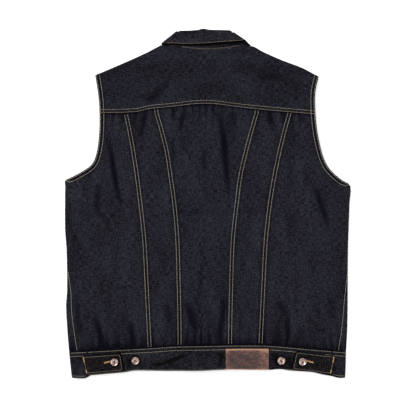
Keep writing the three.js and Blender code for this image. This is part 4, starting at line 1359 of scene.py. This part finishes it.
# Painted shadow round the band's buttons and along the tabs' edges, widest at their points.
def on_the_band(places):
    total = sum(round_button(places, centre) for centre in BAND_BUTTONS.values())
    for shape in TABS.values():
        tip = np.linalg.norm(places - np.mean(shape["tip"], axis=0), axis=1)
        near = distance_to(tab_outline(shape), places)
        at_tip = 1 - smooth(tip, 17, 22)
        total -= (1.3 + 1.4 * at_tip) * np.exp(-((near / (2.8 + 1.6 * at_tip)) ** 2))
    return total


def below_the_collar(places):
    """Painted shadow under the left end of the fall, where the edge stands off the yoke."""
    along = places[:, 0] + 77
    across = places[:, 1] - 299.5 + 0.12 * along
    return -2.4 * np.exp(-((along / 9) ** 2) - (across / 2.2) ** 2)


paint_shade("back_yoke", below_the_collar)
paint_shade("waistband_back", on_the_band)
for name, shape in TABS.items():
    paint_shade("tab_" + name, lambda places: round_button(places, shape["hole"]))
print("pieces with marked cracks:", 2 + len(TABS))

# %% [markdown]
# ## Stitches
# The thread is the brightest thing on the vest, so each stitch is a small round bar of
# thread of its own, bowed up between the two places where the needle went in. First comes
# a helper that drops places onto the cloth with a ray, and one that makes many short
# threads into one mesh.

# %% Thread helpers
THREAD_RADIUS = 0.36
SUNK_THREAD = 0.29  # where a row is pulled in deeper and shows less of its thread
STITCH_PITCH = 3.0
STITCH_LENGTH = 2.6
rng = np.random.default_rng(7)


def tree_of(nodes):
    """A search tree over the cloth of some nodes, in millimetres."""
    points, faces, start = [], [], 0
    for node in nodes:
        mesh = cloth_pieces[node].data
        co = np.empty(len(mesh.vertices) * 3)
        mesh.vertices.foreach_get("co", co)
        points += (co.reshape(-1, 3) / MM).tolist()
        faces += [[start + v for v in face.vertices] for face in mesh.polygons]
        start = len(points)
    return BVHTree.FromPolygons(points, faces)


def settle(places, tree, up=1, fill=False):
    """Where places seen from above lie on the cloth, and which way it faces there."""
    shape = places.shape[:-1]
    found = np.full((places[..., 0].size, 6), np.nan)
    for i, (x, y) in enumerate(places.reshape(-1, 2)):
        hit, normal, _, _ = tree.ray_cast(Vector((x, y, 60 * up)), Vector((0, 0, -up)))
        if hit is not None:
            found[i] = (*hit, *normal)
    found = found.reshape(*shape, 6)
    if fill:
        level = np.nanmean(found[..., 2], axis=1)[:, None]
        missed = np.isnan(found[..., 2])
        found[..., :2] = places
        found[..., 2] = np.where(missed, level, found[..., 2])
        found[..., 3:] = (0, 0, up)
    return found


def along_line(line, pitch, length, parts):
    """Stitch after stitch on a line: the columns of the line at some parts of each."""
    line = np.asarray(line, dtype=float)
    step = np.linalg.norm(np.diff(line[:, :3], axis=0), axis=1)
    way = np.concatenate([[0], step.cumsum()])
    count = int((way[-1] - length) / pitch) + 1
    first = (way[-1] - (count - 1) * pitch - length) / 2
    at = first + pitch * np.arange(count)[:, None] + length * np.array(parts)
    return np.stack([np.interp(at, way, column) for column in line.T], axis=-1)


THREAD_PARTS = [0, 0.1, 0.32, 0.68, 0.9, 1]
THREAD_THICK = np.array([0.35, 0.85, 1.05, 1.05, 0.85, 0.35])
THREAD_BOW = np.array([-0.45, -0.02, 0.16, 0.16, -0.02, -0.45])


def thread_bars(settled, radius):
    """Rings of points round each short thread, from places and normals on the cloth."""
    settled = settled[np.isfinite(settled).all(axis=(1, 2))]
    place, normal = settled[..., :3], settled[..., 3:6]
    way = np.gradient(place, axis=1)
    way /= np.linalg.norm(way, axis=-1, keepdims=True)
    across = np.cross(way, normal)
    across /= np.linalg.norm(across, axis=-1, keepdims=True)
    centre = place + normal * (radius * (0.35 + 2 * THREAD_BOW))[:, None]
    turn = np.linspace(0, 2 * np.pi, 6, endpoint=False)
    thick = (radius * THREAD_THICK)[None, :, None, None]
    ring = across[:, :, None] * np.cos(turn)[:, None] + normal[:, :, None] * 0.85 * np.sin(turn)[:, None]
    return centre[:, :, None] + thick * ring


def thread_mesh(name, bars):
    """All the bars of one kind of thread as one mesh, each bar with a tone of its own."""
    bars = np.concatenate(bars)
    count, rings, sides = bars.shape[:3]
    k = np.arange(count * rings * sides).reshape(count, rings, sides)
    after = np.roll(k, -1, axis=2)
    walls = np.stack([k[:, :-1], k[:, 1:], after[:, 1:], after[:, :-1]], axis=-1).reshape(-1, 4)
    caps = np.concatenate([k[:, 0], k[:, -1][:, ::-1]])
    faces = walls.tolist() + caps.tolist()
    tone = np.repeat(rng.random(count), rings * sides)
    u = np.tile(np.linspace(0, 1, rings)[:, None], (count, 1, sides)) * STITCH_LENGTH
    v = np.tile(np.linspace(0, 2, sides), (count, rings, 1))
    uv = np.stack([u, v], -1).reshape(-1, 2)
    obj = mesh_object(name, bars.reshape(-1, 3), np.array(faces, dtype=object), uv, tone, 80)
    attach(obj, "root")
    print(name, "threads:", count)
    return obj


def row_on(line, tree, up=1, keep=None, radius=THREAD_RADIUS):
    """A row of stitches along a line seen from above."""
    places = along_line(line, STITCH_PITCH, STITCH_LENGTH, THREAD_PARTS)
    if keep is not None:
        places = places[keep(places[:, 2, 0], places[:, 2, 1])]
    return thread_bars(settle(places, tree, up), radius)


# %% [markdown]
# ## The rows on the back
# The seams of the back are sewn with two needles, 5.7 mm apart. Each row is the seam's own
# line moved sideways, so it never leaves the groove that was pressed for it. Across the
# body the rows sink deeper and show less of their thread, so there it is thinner.

# %% Rows on the panels and the yoke
BACK_NODES = ["back_yoke", "back_centre_panel"]
BACK_NODES += [f"back_{kind}_panel_{side}" for kind in ("narrow", "outer") for side in ("left", "right")]
on_back = tree_of(BACK_NODES)


def plan(x, y):
    x, y = np.broadcast_arrays(x, y)
    return np.stack([x, y], axis=-1)


def offset_line(line, distance):
    """A line moved sideways, to the left of the way it runs."""
    way = np.gradient(line, axis=0)
    way /= np.linalg.norm(way, axis=1, keepdims=True)
    return line + distance * np.stack([-way[:, 1], way[:, 0]], axis=-1)


back_rows = []
for seam in SEAM_NAMES:
    y = np.linspace(-283, 188, 200)
    line = plan(seam_x[seam](y), y)
    line = line[(y > waist_y(line[:, 0]) + 0.5) & (y < yoke_y(line[:, 0]) - 0.4)]
    back_rows += [row_on(offset_line(line, side * ROW_GAP / 2), on_back) for side in (-1, 1)]
x = np.linspace(-206, 206, 200)
for over in ROWS_LAP:
    back_rows.append(row_on(plan(x, yoke_y(x) + HALF + over), on_back, radius=SUNK_THREAD))
threads_back = thread_mesh("threads_back", back_rows)

# %% [markdown]
# ## Armholes and side seams
# The armhole's edge is turned in and stitched twice, close to the edge and again where the
# turned cloth ends. The side seams show one row, where they have crept onto the back.

# %% Rows on the armholes and sides
on_sides = tree_of(FRONTS)
edge_rows = []
for name in ("left", "right"):
    side, outline = side_of(name)
    y = np.concatenate([np.linspace(UNDERARM[name], 70, 60), np.linspace(71, 243, 70)])
    line = plan(outline(y), y)
    from_side = np.abs(line[:, 0] - line[0, 0])
    for inside in ROWS_HEM:
        inward = np.minimum(inside, 1.6 + 4.6 * smooth(from_side, 0, 6) + inside * smooth(from_side, 0, 40))
        edge_rows.append(row_on(offset_line(line, side * inward[:, None]), on_back))
    y = np.linspace(-282, -130, 100)
    inset, _ = round_fold(side_creep[name](y) - HALF - 1.5, FOLD_RADIUS)
    edge_rows.append(row_on(plan(fold_edge(name, y) - side * inset, y), on_sides))
threads_edges = thread_mesh("threads_edges", edge_rows)

# %% [markdown]
# ## The waistband, the tabs and the collar
# The band has two rows at its top and one along its lower edge. A tab has one row round
# its edge, and the collar one row along the edge of its fall and one at its foot.

# %% Rows on the band
on_bands = tree_of(["waistband_back", *FRONT_BANDS])


def within(loop, x, y):
    """Whether places lie inside a closed loop: an odd number of its sides pass to the right."""
    inside = np.zeros(x.shape, dtype=bool)
    for (xa, ya), (xb, yb) in zip(loop, np.roll(loop, -1, axis=0)):
        if ya != yb:
            crosses = (ya > y) != (yb > y)
            inside ^= crosses & (x < xa + (y - ya) * (xb - xa) / (yb - ya))
    return inside


def bare(x, y):
    """Whether a place on the band is clear of the tabs and the label."""
    under = (x > LABEL_PLACE["left"] - 1) & (x < LABEL_PLACE["right"] + 1) & (y < LABEL_PLACE["top"] + 0.5)
    for shape in TABS.values():
        under |= within(tab_outline(shape, -1.0), x, y)
    return ~under


def band_row(low, high, line):
    x = np.linspace(low, high, 150)
    return row_on(plan(x, line(x)), on_bands, keep=bare, radius=SUNK_THREAD)


band_rows = []
left_end, right_end = BAND_SEAM["left"], BAND_SEAM["right"]
for low, high in ((-262, left_end - 1), (left_end + 1, right_end - 1), (right_end + 1, 262)):
    for under in BAND_TOP_ROWS:
        band_rows.append(band_row(low, high, lambda x: waist_y(x) - HALF - under))
for low, high in ((left_end + 1, LABEL_PLACE["left"]), (150, 200)):
    band_rows.append(band_row(low, high, lambda x: hem_y(x) + BAND_LOW_ROW[0]))
for low, high in ((-258, left_end - 1), (right_end + 1, 260)):
    band_rows.append(band_row(low, high, lambda x: front_hem_y(x) + WRAP_LOW_ROW))
threads_band = thread_mesh("threads_band", band_rows)

# %% [markdown]
# ## Bartacks and buttonholes
# A tab has one row round its edge and one over its root. A bartack and a buttonhole are
# satin stitch, which is threads laid side by side across a line, so the same short bars
# are laid across it at a fifth of the pitch, in a golden thread.

# %% Rows on the tabs
GOLD_PITCH = 0.62


def satin(line, tree, width, radius=0.3):
    """Threads laid side by side across a line, as a bartack or a buttonhole has them."""
    centre = along_line(line, GOLD_PITCH, 0.0, [0])[:, 0]
    way = np.gradient(centre, axis=0)
    way /= np.linalg.norm(way, axis=1, keepdims=True)
    across = np.stack([-way[:, 1], way[:, 0]], axis=-1) * width
    share = np.array(THREAD_PARTS)[:, None] - 0.5
    return thread_bars(settle(centre[:, None] + across[:, None] * share, tree, fill=True), radius)


tab_rows = []
gold_rows = []
for name, shape in TABS.items():
    on_tab = tree_of(["tab_" + name])
    loop = np.roll(tab_outline(shape, TAB_ROW), -9, axis=0)[:16]
    tab_rows.append(row_on(loop, on_tab, radius=SUNK_THREAD))
    foot, top = np.array(shape["root"][1], dtype=float), np.array(shape["root"][0], dtype=float)
    inward = np.array([1.4 if name == "left" else -1.4, 0])
    foot += inward + (0, 2.0)
    top += inward - (0, 1.2)
    tab_rows.append(row_on(np.stack([foot, top]), on_tab))
    for start, stop in ((0.0, 0.2), (0.66, 1.0)):
        tack = np.stack([foot + (top - foot) * start, foot + (top - foot) * stop])
        gold_rows.append(satin(tack, on_tab, 2.2))
    around = keyhole(shape, 0.8)
    gold_rows.append(satin(np.concatenate([around, around[:1]]), on_tab, 1.4))
threads_tabs = thread_mesh("threads_tabs", tab_rows)
threads_gold = thread_mesh("threads_gold", gold_rows)

# %% [markdown]
# ## The collar's rows
# A ray from above would miss the parts of the collar that are folded under, so its rows
# don't drop onto it: each section of the collar's own grid says where the row crosses it
# and which way the cloth faces there.

# %% Rows on the collar
def collar_row(face, normal, inside, from_edge, radius):
    """Stitches on one face of the collar, at a distance from the fall's edge or the foot."""
    grid = np.concatenate([face, normal], axis=-1)
    if from_edge:
        grid = grid[:, ::-1]
    step = np.linalg.norm(np.diff(grid[..., :3], axis=1, prepend=grid[:, :1, :3]), axis=-1).cumsum(axis=1)
    line = np.empty((len(grid), 6))
    for i in range(len(grid)):
        line[i] = [np.interp(inside, step[i], grid[i, :, k]) for k in range(6)]
    return thread_bars(along_line(line, STITCH_PITCH, STITCH_LENGTH, THREAD_PARTS), radius)


OPEN_NECK = slice(87, 135)  # the sections where the fall leaves the foot in sight
ROW_START = -77  # on the back, the row along the edge comes out from the left fold here
edge_x = collar_face[:, -1, 0]
past_left = np.arange(len(edge_x)) > np.argmin(edge_x)
collar_rows = [collar_row(collar_inside[OPEN_NECK], -collar_normal[OPEN_NECK], 1.5, False, 0.22)]
for part in (~past_left, past_left & (edge_x > ROW_START)):
    collar_rows.append(collar_row(collar_face[part], collar_normal[part], 1.8, True, 0.28))
threads_collar = thread_mesh("threads_collar", collar_rows)

# %% [markdown]
# ## Hidden rows
# The underside lies on the table, but it is sewn like the rest: a placket with a row near
# its edge and one where its turned cloth ends, and the armholes' and the bands' rows.

# %% Rows on the fronts
on_fronts = tree_of(FRONTS)
front_rows = []
y = np.linspace(-266, 210, 160)
for x in (FRONT_OVERLAP - 2, FRONT_OVERLAP - 26):
    front_rows.append(row_on(plan(x, y), on_fronts, up=-1))
for name in ("left", "right"):
    side, outline = side_of(name)
    y = np.linspace(UNDERARM[name] + 4, 238, 120)
    for inside in ROWS_HEM:
        x = outline(y) - side * (front_deeper(y) + inside)
        front_rows.append(row_on(plan(x, y), on_fronts, up=-1))
    x = side * np.linspace(20, 255, 120)
    for under in BAND_TOP_ROWS:
        front_rows.append(row_on(plan(x, waist_y(x) - HALF - under), on_bands, up=-1))
    front_rows.append(row_on(plan(x, front_hem_y(x) + BAND_LOW_ROW[0]), on_bands, up=-1))
threads_front = thread_mesh("threads_front", front_rows)

# %% [markdown]
# ## Writing a material down
# Each finish below is a small tree of shader nodes. They could be joined by hand in the
# shader editor, but a few short calls keep a whole finish readable on one page, and they
# link a value where it is a socket and set it where it is a plain number.

# %% Node helpers
class Finish:
    """A material and short calls for the nodes in it."""

    def __init__(self, name):
        self.material = bpy.data.materials.new(name)
        self.material.use_nodes = True
        self.tree = self.material.node_tree
        self.shader = self.tree.nodes["Principled BSDF"]

    def put(self, socket, value):
        if isinstance(value, bpy.types.NodeSocket):
            self.tree.links.new(value, socket)
        else:
            socket.default_value = value

    def node(self, kind, inputs=(), output=0, **settings):
        node = self.tree.nodes.new("ShaderNode" + kind)
        for key, value in settings.items():
            setattr(node, key, value)
        for key, value in dict(inputs).items():
            self.put(node.inputs[key], value)
        return node.outputs[output]

    def math(self, operation, a, b=0.0, clamp=False):
        return self.node("Math", {0: a, 1: b}, operation=operation, use_clamp=clamp)

    def uv(self, across, along, turn=0.0):
        """The cloth's own coordinates, stretched: how many features a metre has each way."""
        place = self.node("UVMap", uv_map="cloth")
        scale = {"Vector": place, "Scale": (across, along, 1.0), "Rotation": (0, 0, turn)}
        return self.node("Mapping", scale)

    def noise(self, vector, detail=2.0, roughness=0.5, scale=1.0):
        inputs = {"Vector": vector, "Scale": scale, "Detail": detail, "Roughness": roughness}
        return self.node("TexNoise", inputs)

    def ramp(self, value, low, high, to_low=0.0, to_high=1.0):
        inputs = {"Value": value, "From Min": low, "From Max": high, "To Min": to_low, "To Max": to_high}
        return self.node("MapRange", inputs)

    def mix(self, share, a, b, blend="MIX"):
        inputs = {"Factor": share, 6: a, 7: b}
        return self.node("Mix", inputs, output=2, data_type="RGBA", blend_type=blend)

    def set(self, **values):
        for key, value in values.items():
            self.put(self.shader.inputs[key.replace("_", " ").title().replace("Ior", "IOR")], value)


def shade(red, green, blue, alpha=1.0):
    """A colour as painters' programs give it, 0 to 255, in linear light."""
    shares = [value / 255 for value in (red, green, blue)]
    linear = [s / 12.92 if s < 0.04045 else ((s + 0.055) / 1.055) ** 2.4 for s in shares]
    return (*linear, alpha)


print("middle grey in linear light:", round(shade(128, 128, 128)[0], 3))

# %% [markdown]
# ## Denim
# Denim is a twill: dark blue warp threads float over three pale weft threads and under
# one, which makes fine slanting lines with pale specks between. The yarns are uneven, so
# there are darker and lighter streaks both ways, and new denim is almost black. All of it
# is worked out from the UV map, in metres along the cloth. The depth attribute then
# darkens the creases, the seams' ditches and the cracks under other pieces: that is
# painted shade.

# %% Denim
def denim(name, light, warm, low, high, teal, deepest=shade(2, 2, 2)):
    """Below the low level the warp hides the weft, and at the high one only weft shows."""
    cloth = Finish(name)
    warp = cloth.noise(cloth.uv(660, 110), detail=3.0, roughness=0.6)
    weft = cloth.noise(cloth.uv(110, 660), detail=3.0, roughness=0.6)
    mottle = cloth.noise(cloth.uv(600, 560), detail=4.0, roughness=0.7)
    cloud = cloth.noise(cloth.uv(30, 11), detail=4.0, roughness=0.6)
    tint = cloth.noise(cloth.uv(300, 200), detail=4.0, roughness=0.6)
    slant = cloth.node("SeparateXYZ", {"Vector": cloth.uv(1000, 1000, math.radians(27))})
    lines = cloth.math("SINE", cloth.math("MULTIPLY", slant, 2 * math.pi / 0.95))
    grain = cloth.math("ADD", cloth.math("MULTIPLY", warp, 0.40), cloth.math("MULTIPLY", weft, 0.36))
    grain = cloth.math("ADD", grain, cloth.math("MULTIPLY", mottle, 0.24))
    pale = cloth.math("ADD", grain, cloth.math("MULTIPLY", lines, 0.02))
    pale = cloth.math("ADD", pale, cloth.ramp(cloud, 0.2, 0.8, -0.05, 0.05))
    floats = cloth.mix(cloth.ramp(tint, 0.38, 0.62), light, warm)
    floats = cloth.mix(cloth.ramp(cloud, 0.38, 0.7, 0.0, teal), floats, shade(32, 41, 46))
    colour = cloth.mix(cloth.ramp(pale, low, high), shade(2, 2, 3), floats)
    # Painted shade: where the depth attribute runs below nought, the colour goes towards the darkest colour
    # given, in creases, seams' ditches and cracks.
    deep = cloth.node("Attribute", output=2, attribute_name="depth")
    colour = cloth.mix(cloth.ramp(deep, -2.2, -0.1), deepest, colour)
    bump = cloth.node("Bump", {"Height": grain, "Strength": 0.6, "Distance": 0.0005})
    rough = cloth.ramp(grain, 0.3, 0.8, 0.95, 0.8)
    cloth.set(base_color=colour, normal=bump, roughness=rough, specular_ior_level=0.05)
    cloth.set(sheen_weight=0.02, sheen_roughness=0.5, sheen_tint=shade(150, 155, 180))
    return cloth.material


# The dark navy that the folds are painted towards: a painted shade colour.
NAVY_SHADE = shade(3, 2, 8)
denim_body = denim("denim_body", shade(35, 37, 48), shade(41, 37, 46), 0.430, 0.600, 0.5, NAVY_SHADE)
denim_sides = denim("denim_sides", shade(35, 37, 47), shade(41, 37, 45), 0.430, 0.600, 0.25, NAVY_SHADE)
# The yoke's denim is a shade darker than the body's: painted shade for the way cloth cut across the grain
# takes the light.
denim_yoke = denim("denim_yoke", shade(33, 34, 44), shade(38, 34, 42), 0.435, 0.605, 0.4, NAVY_SHADE)
denim_collar = denim("denim_collar", shade(36, 36, 43), shade(41, 36, 42), 0.450, 0.575, 0.2)
denim_band = denim("denim_band", shade(33, 34, 43), shade(39, 33, 40), 0.470, 0.580, 0.2)
denim_dark = denim("denim_dark", shade(34, 31, 35), shade(39, 31, 32), 0.475, 0.590, 0.0)
print("denims:", denim_body.name, denim_sides.name, denim_yoke.name, denim_collar.name)
print("and for the doubled pieces:", denim_band.name, denim_dark.name)

# %% [markdown]
# ## Thread
# Cotton-wrapped thread is two strands twisted round each other, so each stitch gets slanting
# furrows. Every stitch has a tone of its own from the attribute that its mesh carries.

# %% Thread finishes
def thread(name, pale, deep_tone):
    yarn = Finish(name)
    tone = yarn.node("Attribute", output=2, attribute_name="depth")
    along = yarn.node("SeparateXYZ", {"Vector": yarn.uv(1000, 1000, 0.6)})
    twist = yarn.math("SINE", yarn.math("MULTIPLY", along, 2 * math.pi / 0.6))
    fuzz = yarn.noise(yarn.uv(900, 900), detail=3.0)
    share = yarn.math("ADD", yarn.math("MULTIPLY", tone, 0.6), yarn.math("MULTIPLY", fuzz, 0.5))
    share = yarn.math("ADD", share, yarn.math("MULTIPLY", twist, -0.12), clamp=True)
    colour = yarn.mix(share, pale, deep_tone)
    bump = yarn.node("Bump", {"Height": twist, "Strength": 0.5, "Distance": 0.0001})
    yarn.set(base_color=colour, normal=bump, roughness=yarn.ramp(fuzz, 0.3, 0.7, 0.55, 0.8))
    yarn.set(sheen_weight=0.1)
    return yarn.material


thread_tan = thread("thread_tan", shade(158, 148, 128), shade(108, 98, 80))
# A darker copy of the tan thread, for the collar's and the tabs' rows: painted shade for rows that take
# less light than the long seams' rows.
thread_shaded_tan = thread("thread_shaded_tan", shade(136, 124, 108), shade(88, 76, 68))
thread_gold = thread("thread_gold", shade(190, 150, 84), shade(132, 92, 46))
print("threads:", thread_tan.name, thread_shaded_tan.name, thread_gold.name)

# %% [markdown]
# ## Leather
# The label's leather is a dark red-brown in large patches, with blackish scuffs over them,
# and it is worn to a paler tan along its edges. Patches, scuffs and pores are noise at
# three sizes. The wear comes from the attribute, because noise can't know where an edge is.

# %% Leather
def leather(name):
    hide = Finish(name)
    worn = hide.node("Attribute", output=2, attribute_name="depth")
    patches = hide.noise(hide.uv(60, 75), detail=5.0, roughness=0.65)
    pores = hide.noise(hide.uv(900, 900), detail=3.0, roughness=0.6)
    grain = hide.node("TexVoronoi", {"Vector": hide.uv(750, 750), "Scale": 1.0}, feature="F1")
    colour = hide.mix(hide.ramp(patches, 0.40, 0.58), shade(32, 19, 20), shade(76, 48, 41))
    scuffs = hide.noise(hide.uv(190, 240), detail=4.0, roughness=0.7)
    worn = hide.math("MULTIPLY", worn, hide.ramp(patches, 0.25, 0.65, 0.75, 1.15))
    colour = hide.mix(hide.ramp(worn, 0.05, 0.65), colour, shade(104, 69, 60))
    colour = hide.mix(hide.ramp(scuffs, 0.46, 0.58, 0.0, 0.85), colour, shade(27, 16, 17))
    colour = hide.mix(hide.ramp(worn, 0.6, 1.1), colour, shade(142, 107, 80))
    colour = hide.mix(hide.ramp(pores, 0.45, 0.75, 0.0, 0.35), colour, shade(38, 25, 25))
    height = hide.math("ADD", grain, hide.math("MULTIPLY", patches, 1.5))
    bump = hide.node("Bump", {"Height": height, "Strength": 0.35, "Distance": 0.0005})
    hide.set(base_color=colour, normal=bump, roughness=hide.ramp(pores, 0.3, 0.7, 0.5, 0.72))
    hide.set(specular_ior_level=0.35)
    return hide.material


leather_brown = leather("leather_brown")
print("leather:", leather_brown.name)

# %% [markdown]
# ## Metal
# The buttons are silver plating over copper. The plating has gone in patches, and dirt has
# stayed in the sunk ring and in the dome's dimple. Round the outside of the rim the metal
# is painted near black: that is painted shadow. Those places are marked on the mesh, so
# they are right on every button, however it is turned.

# %% Metal
def aged_metal(name):
    metal = Finish(name)
    place = metal.node("TexCoord", output=3)
    wear = metal.noise(metal.node("Mapping", {"Vector": place, "Scale": (260, 260, 260)}), detail=4.0)
    fine = metal.noise(metal.node("Mapping", {"Vector": place, "Scale": (2200, 2200, 2200)}), detail=2.0)
    colour = metal.mix(metal.ramp(wear, 0.42, 0.62), shade(196, 180, 175), shade(132, 100, 88))
    dirt_and_rim_shadow = metal.node("Attribute", output=2, attribute_name="depth")
    stain_and_rim_shadow = metal.math("MULTIPLY", dirt_and_rim_shadow, metal.ramp(wear, 0.35, 0.6, 0.75, 1.15), clamp=True)
    colour = metal.mix(stain_and_rim_shadow, colour, shade(66, 38, 31))
    # Painted shadow: where the mark runs past 1, round the outside of the rim, the colour goes near black.
    colour = metal.mix(metal.ramp(dirt_and_rim_shadow, 1.0, 1.9), colour, shade(8, 6, 7))
    bump = metal.node("Bump", {"Height": fine, "Strength": 0.12, "Distance": 0.0002})
    rough = metal.ramp(wear, 0.35, 0.7, 0.26, 0.48)
    metal.set(base_color=colour, metallic=0.95, roughness=rough, normal=bump)
    return metal.material


aged_silver = aged_metal("aged_silver")
print("metal:", aged_silver.name)

# %% [markdown]
# ## Which piece gets which finish
# The whole vest is cut from one cloth, but doubled pieces look darker and flatter than
# single ones, so there are a few denims a shade apart.

# %% Giving each piece its finish
DARK_NODES = ["tab_left", "tab_right"]
BAND_NODES = ["waistband_back", *FRONT_BANDS]


def finish_piece(obj, material):
    obj.data.materials.clear()
    obj.data.materials.append(material)


for node, obj in cloth_pieces.items():
    if node in DARK_NODES:
        finish_piece(obj, denim_dark)
    elif node == "collar":
        finish_piece(obj, denim_collar)
    elif node == "back_yoke":
        finish_piece(obj, denim_yoke)
    elif "narrow" in node or "outer" in node:
        finish_piece(obj, denim_sides)
    elif node in BAND_NODES:
        finish_piece(obj, denim_band)
    else:
        finish_piece(obj, denim_body)
for obj in metal_pieces:
    finish_piece(obj, aged_silver)
finish_piece(label_leather, leather_brown)
for obj in (threads_back, threads_edges, threads_band, threads_front):
    finish_piece(obj, thread_tan)
for obj in (threads_collar, threads_tabs):
    finish_piece(obj, thread_shaded_tan)
finish_piece(threads_gold, thread_gold)
print("finished cloth pieces:", len(cloth_pieces), "and metal pieces:", len(metal_pieces))

# %% [markdown]
# ## The table
# The vest lies on a plain pale surface. One large plane is enough, half a millimetre
# lower than the vest's underside, with a faint speckle so that it isn't a dead white.

# %% Table
FLOOR_SIZE = 6.0
bpy.ops.mesh.primitive_plane_add(size=FLOOR_SIZE, location=(0, 0, -0.0005))
floor = bpy.context.object
floor.name = "table"
paper = Finish("pale_table")
place = paper.node("TexCoord", output=3)
speckle = paper.noise(paper.node("Mapping", {"Vector": place, "Scale": (30, 30, 30)}))
paper.set(base_color=paper.mix(speckle, shade(246, 246, 246), shade(250, 250, 250)), roughness=0.9)
paper.set(specular_ior_level=0.1)
floor.data.materials.append(paper.material)
print("table:", FLOOR_SIZE, "m wide")

# %% [markdown]
# ## The light
# The light is soft: a white surrounding, a large window-like area at the upper left and a
# weak fill from the lower right. A small or near lamp would draw hard shadows that the
# real vest hasn't got, and a white surrounding alone would lose the folds.

# %% Light
world = bpy.data.worlds.new("studio")
bpy.context.scene.world = world
world.use_nodes = True
world.node_tree.nodes["Background"].inputs["Color"].default_value = (1, 1, 1, 1)
world.node_tree.nodes["Background"].inputs["Strength"].default_value = 1.0


def soft_light(name, place, size, power):
    """A square area light that looks at the vest."""
    lamp = bpy.data.lights.new(name, "AREA")
    lamp.size = size
    lamp.energy = power
    obj = bpy.data.objects.new(name, lamp)
    bpy.context.scene.collection.objects.link(obj)
    obj.location = place
    obj.rotation_euler = (-Vector(place)).to_track_quat("-Z", "Y").to_euler()
    return obj


soft_light("key", (-2.5, 2.2, 2.2), 1.8, 175)
soft_light("fill", (1.9, -0.6, 1.8), 1.8, 30)

# %% [markdown]
# ## The camera
# The picture is taken straight from above, nearly over the vest's middle. A long lens
# from higher up keeps the two sides of the vest alike, as they are in such a picture.

# %% Camera
CAMERA_HEIGHT = 1.866
camera = bpy.data.cameras.new("camera")
camera.lens = 85
camera.sensor_width = 36
camera_object = bpy.data.objects.new("camera", camera)
bpy.context.scene.collection.objects.link(camera_object)
camera_object.location = (0.0013, -0.009, CAMERA_HEIGHT)
bpy.context.scene.camera = camera_object
bpy.context.scene.view_settings.view_transform = "Standard"
print("camera:", CAMERA_HEIGHT, "m up, lens", camera.lens, "mm")

# %% [markdown]
# ## The last measurements
# The pieces and their triangles are counted, and the most in one piece.

# %% Sizes
def corners(box):
    return [[float(value) for value in corner] for corner in box]


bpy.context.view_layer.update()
stitches = [threads_back, threads_edges, threads_band, threads_tabs]
stitches += [threads_gold, threads_collar, threads_front]
pieces = [*cloth_pieces.values(), *metal_pieces, label_leather, *stitches]
triangles = [sum(len(face.vertices) - 2 for face in obj.data.polygons) for obj in pieces]
print("pieces:", len(pieces), "triangles:", sum(triangles), "most in one piece:", max(triangles))
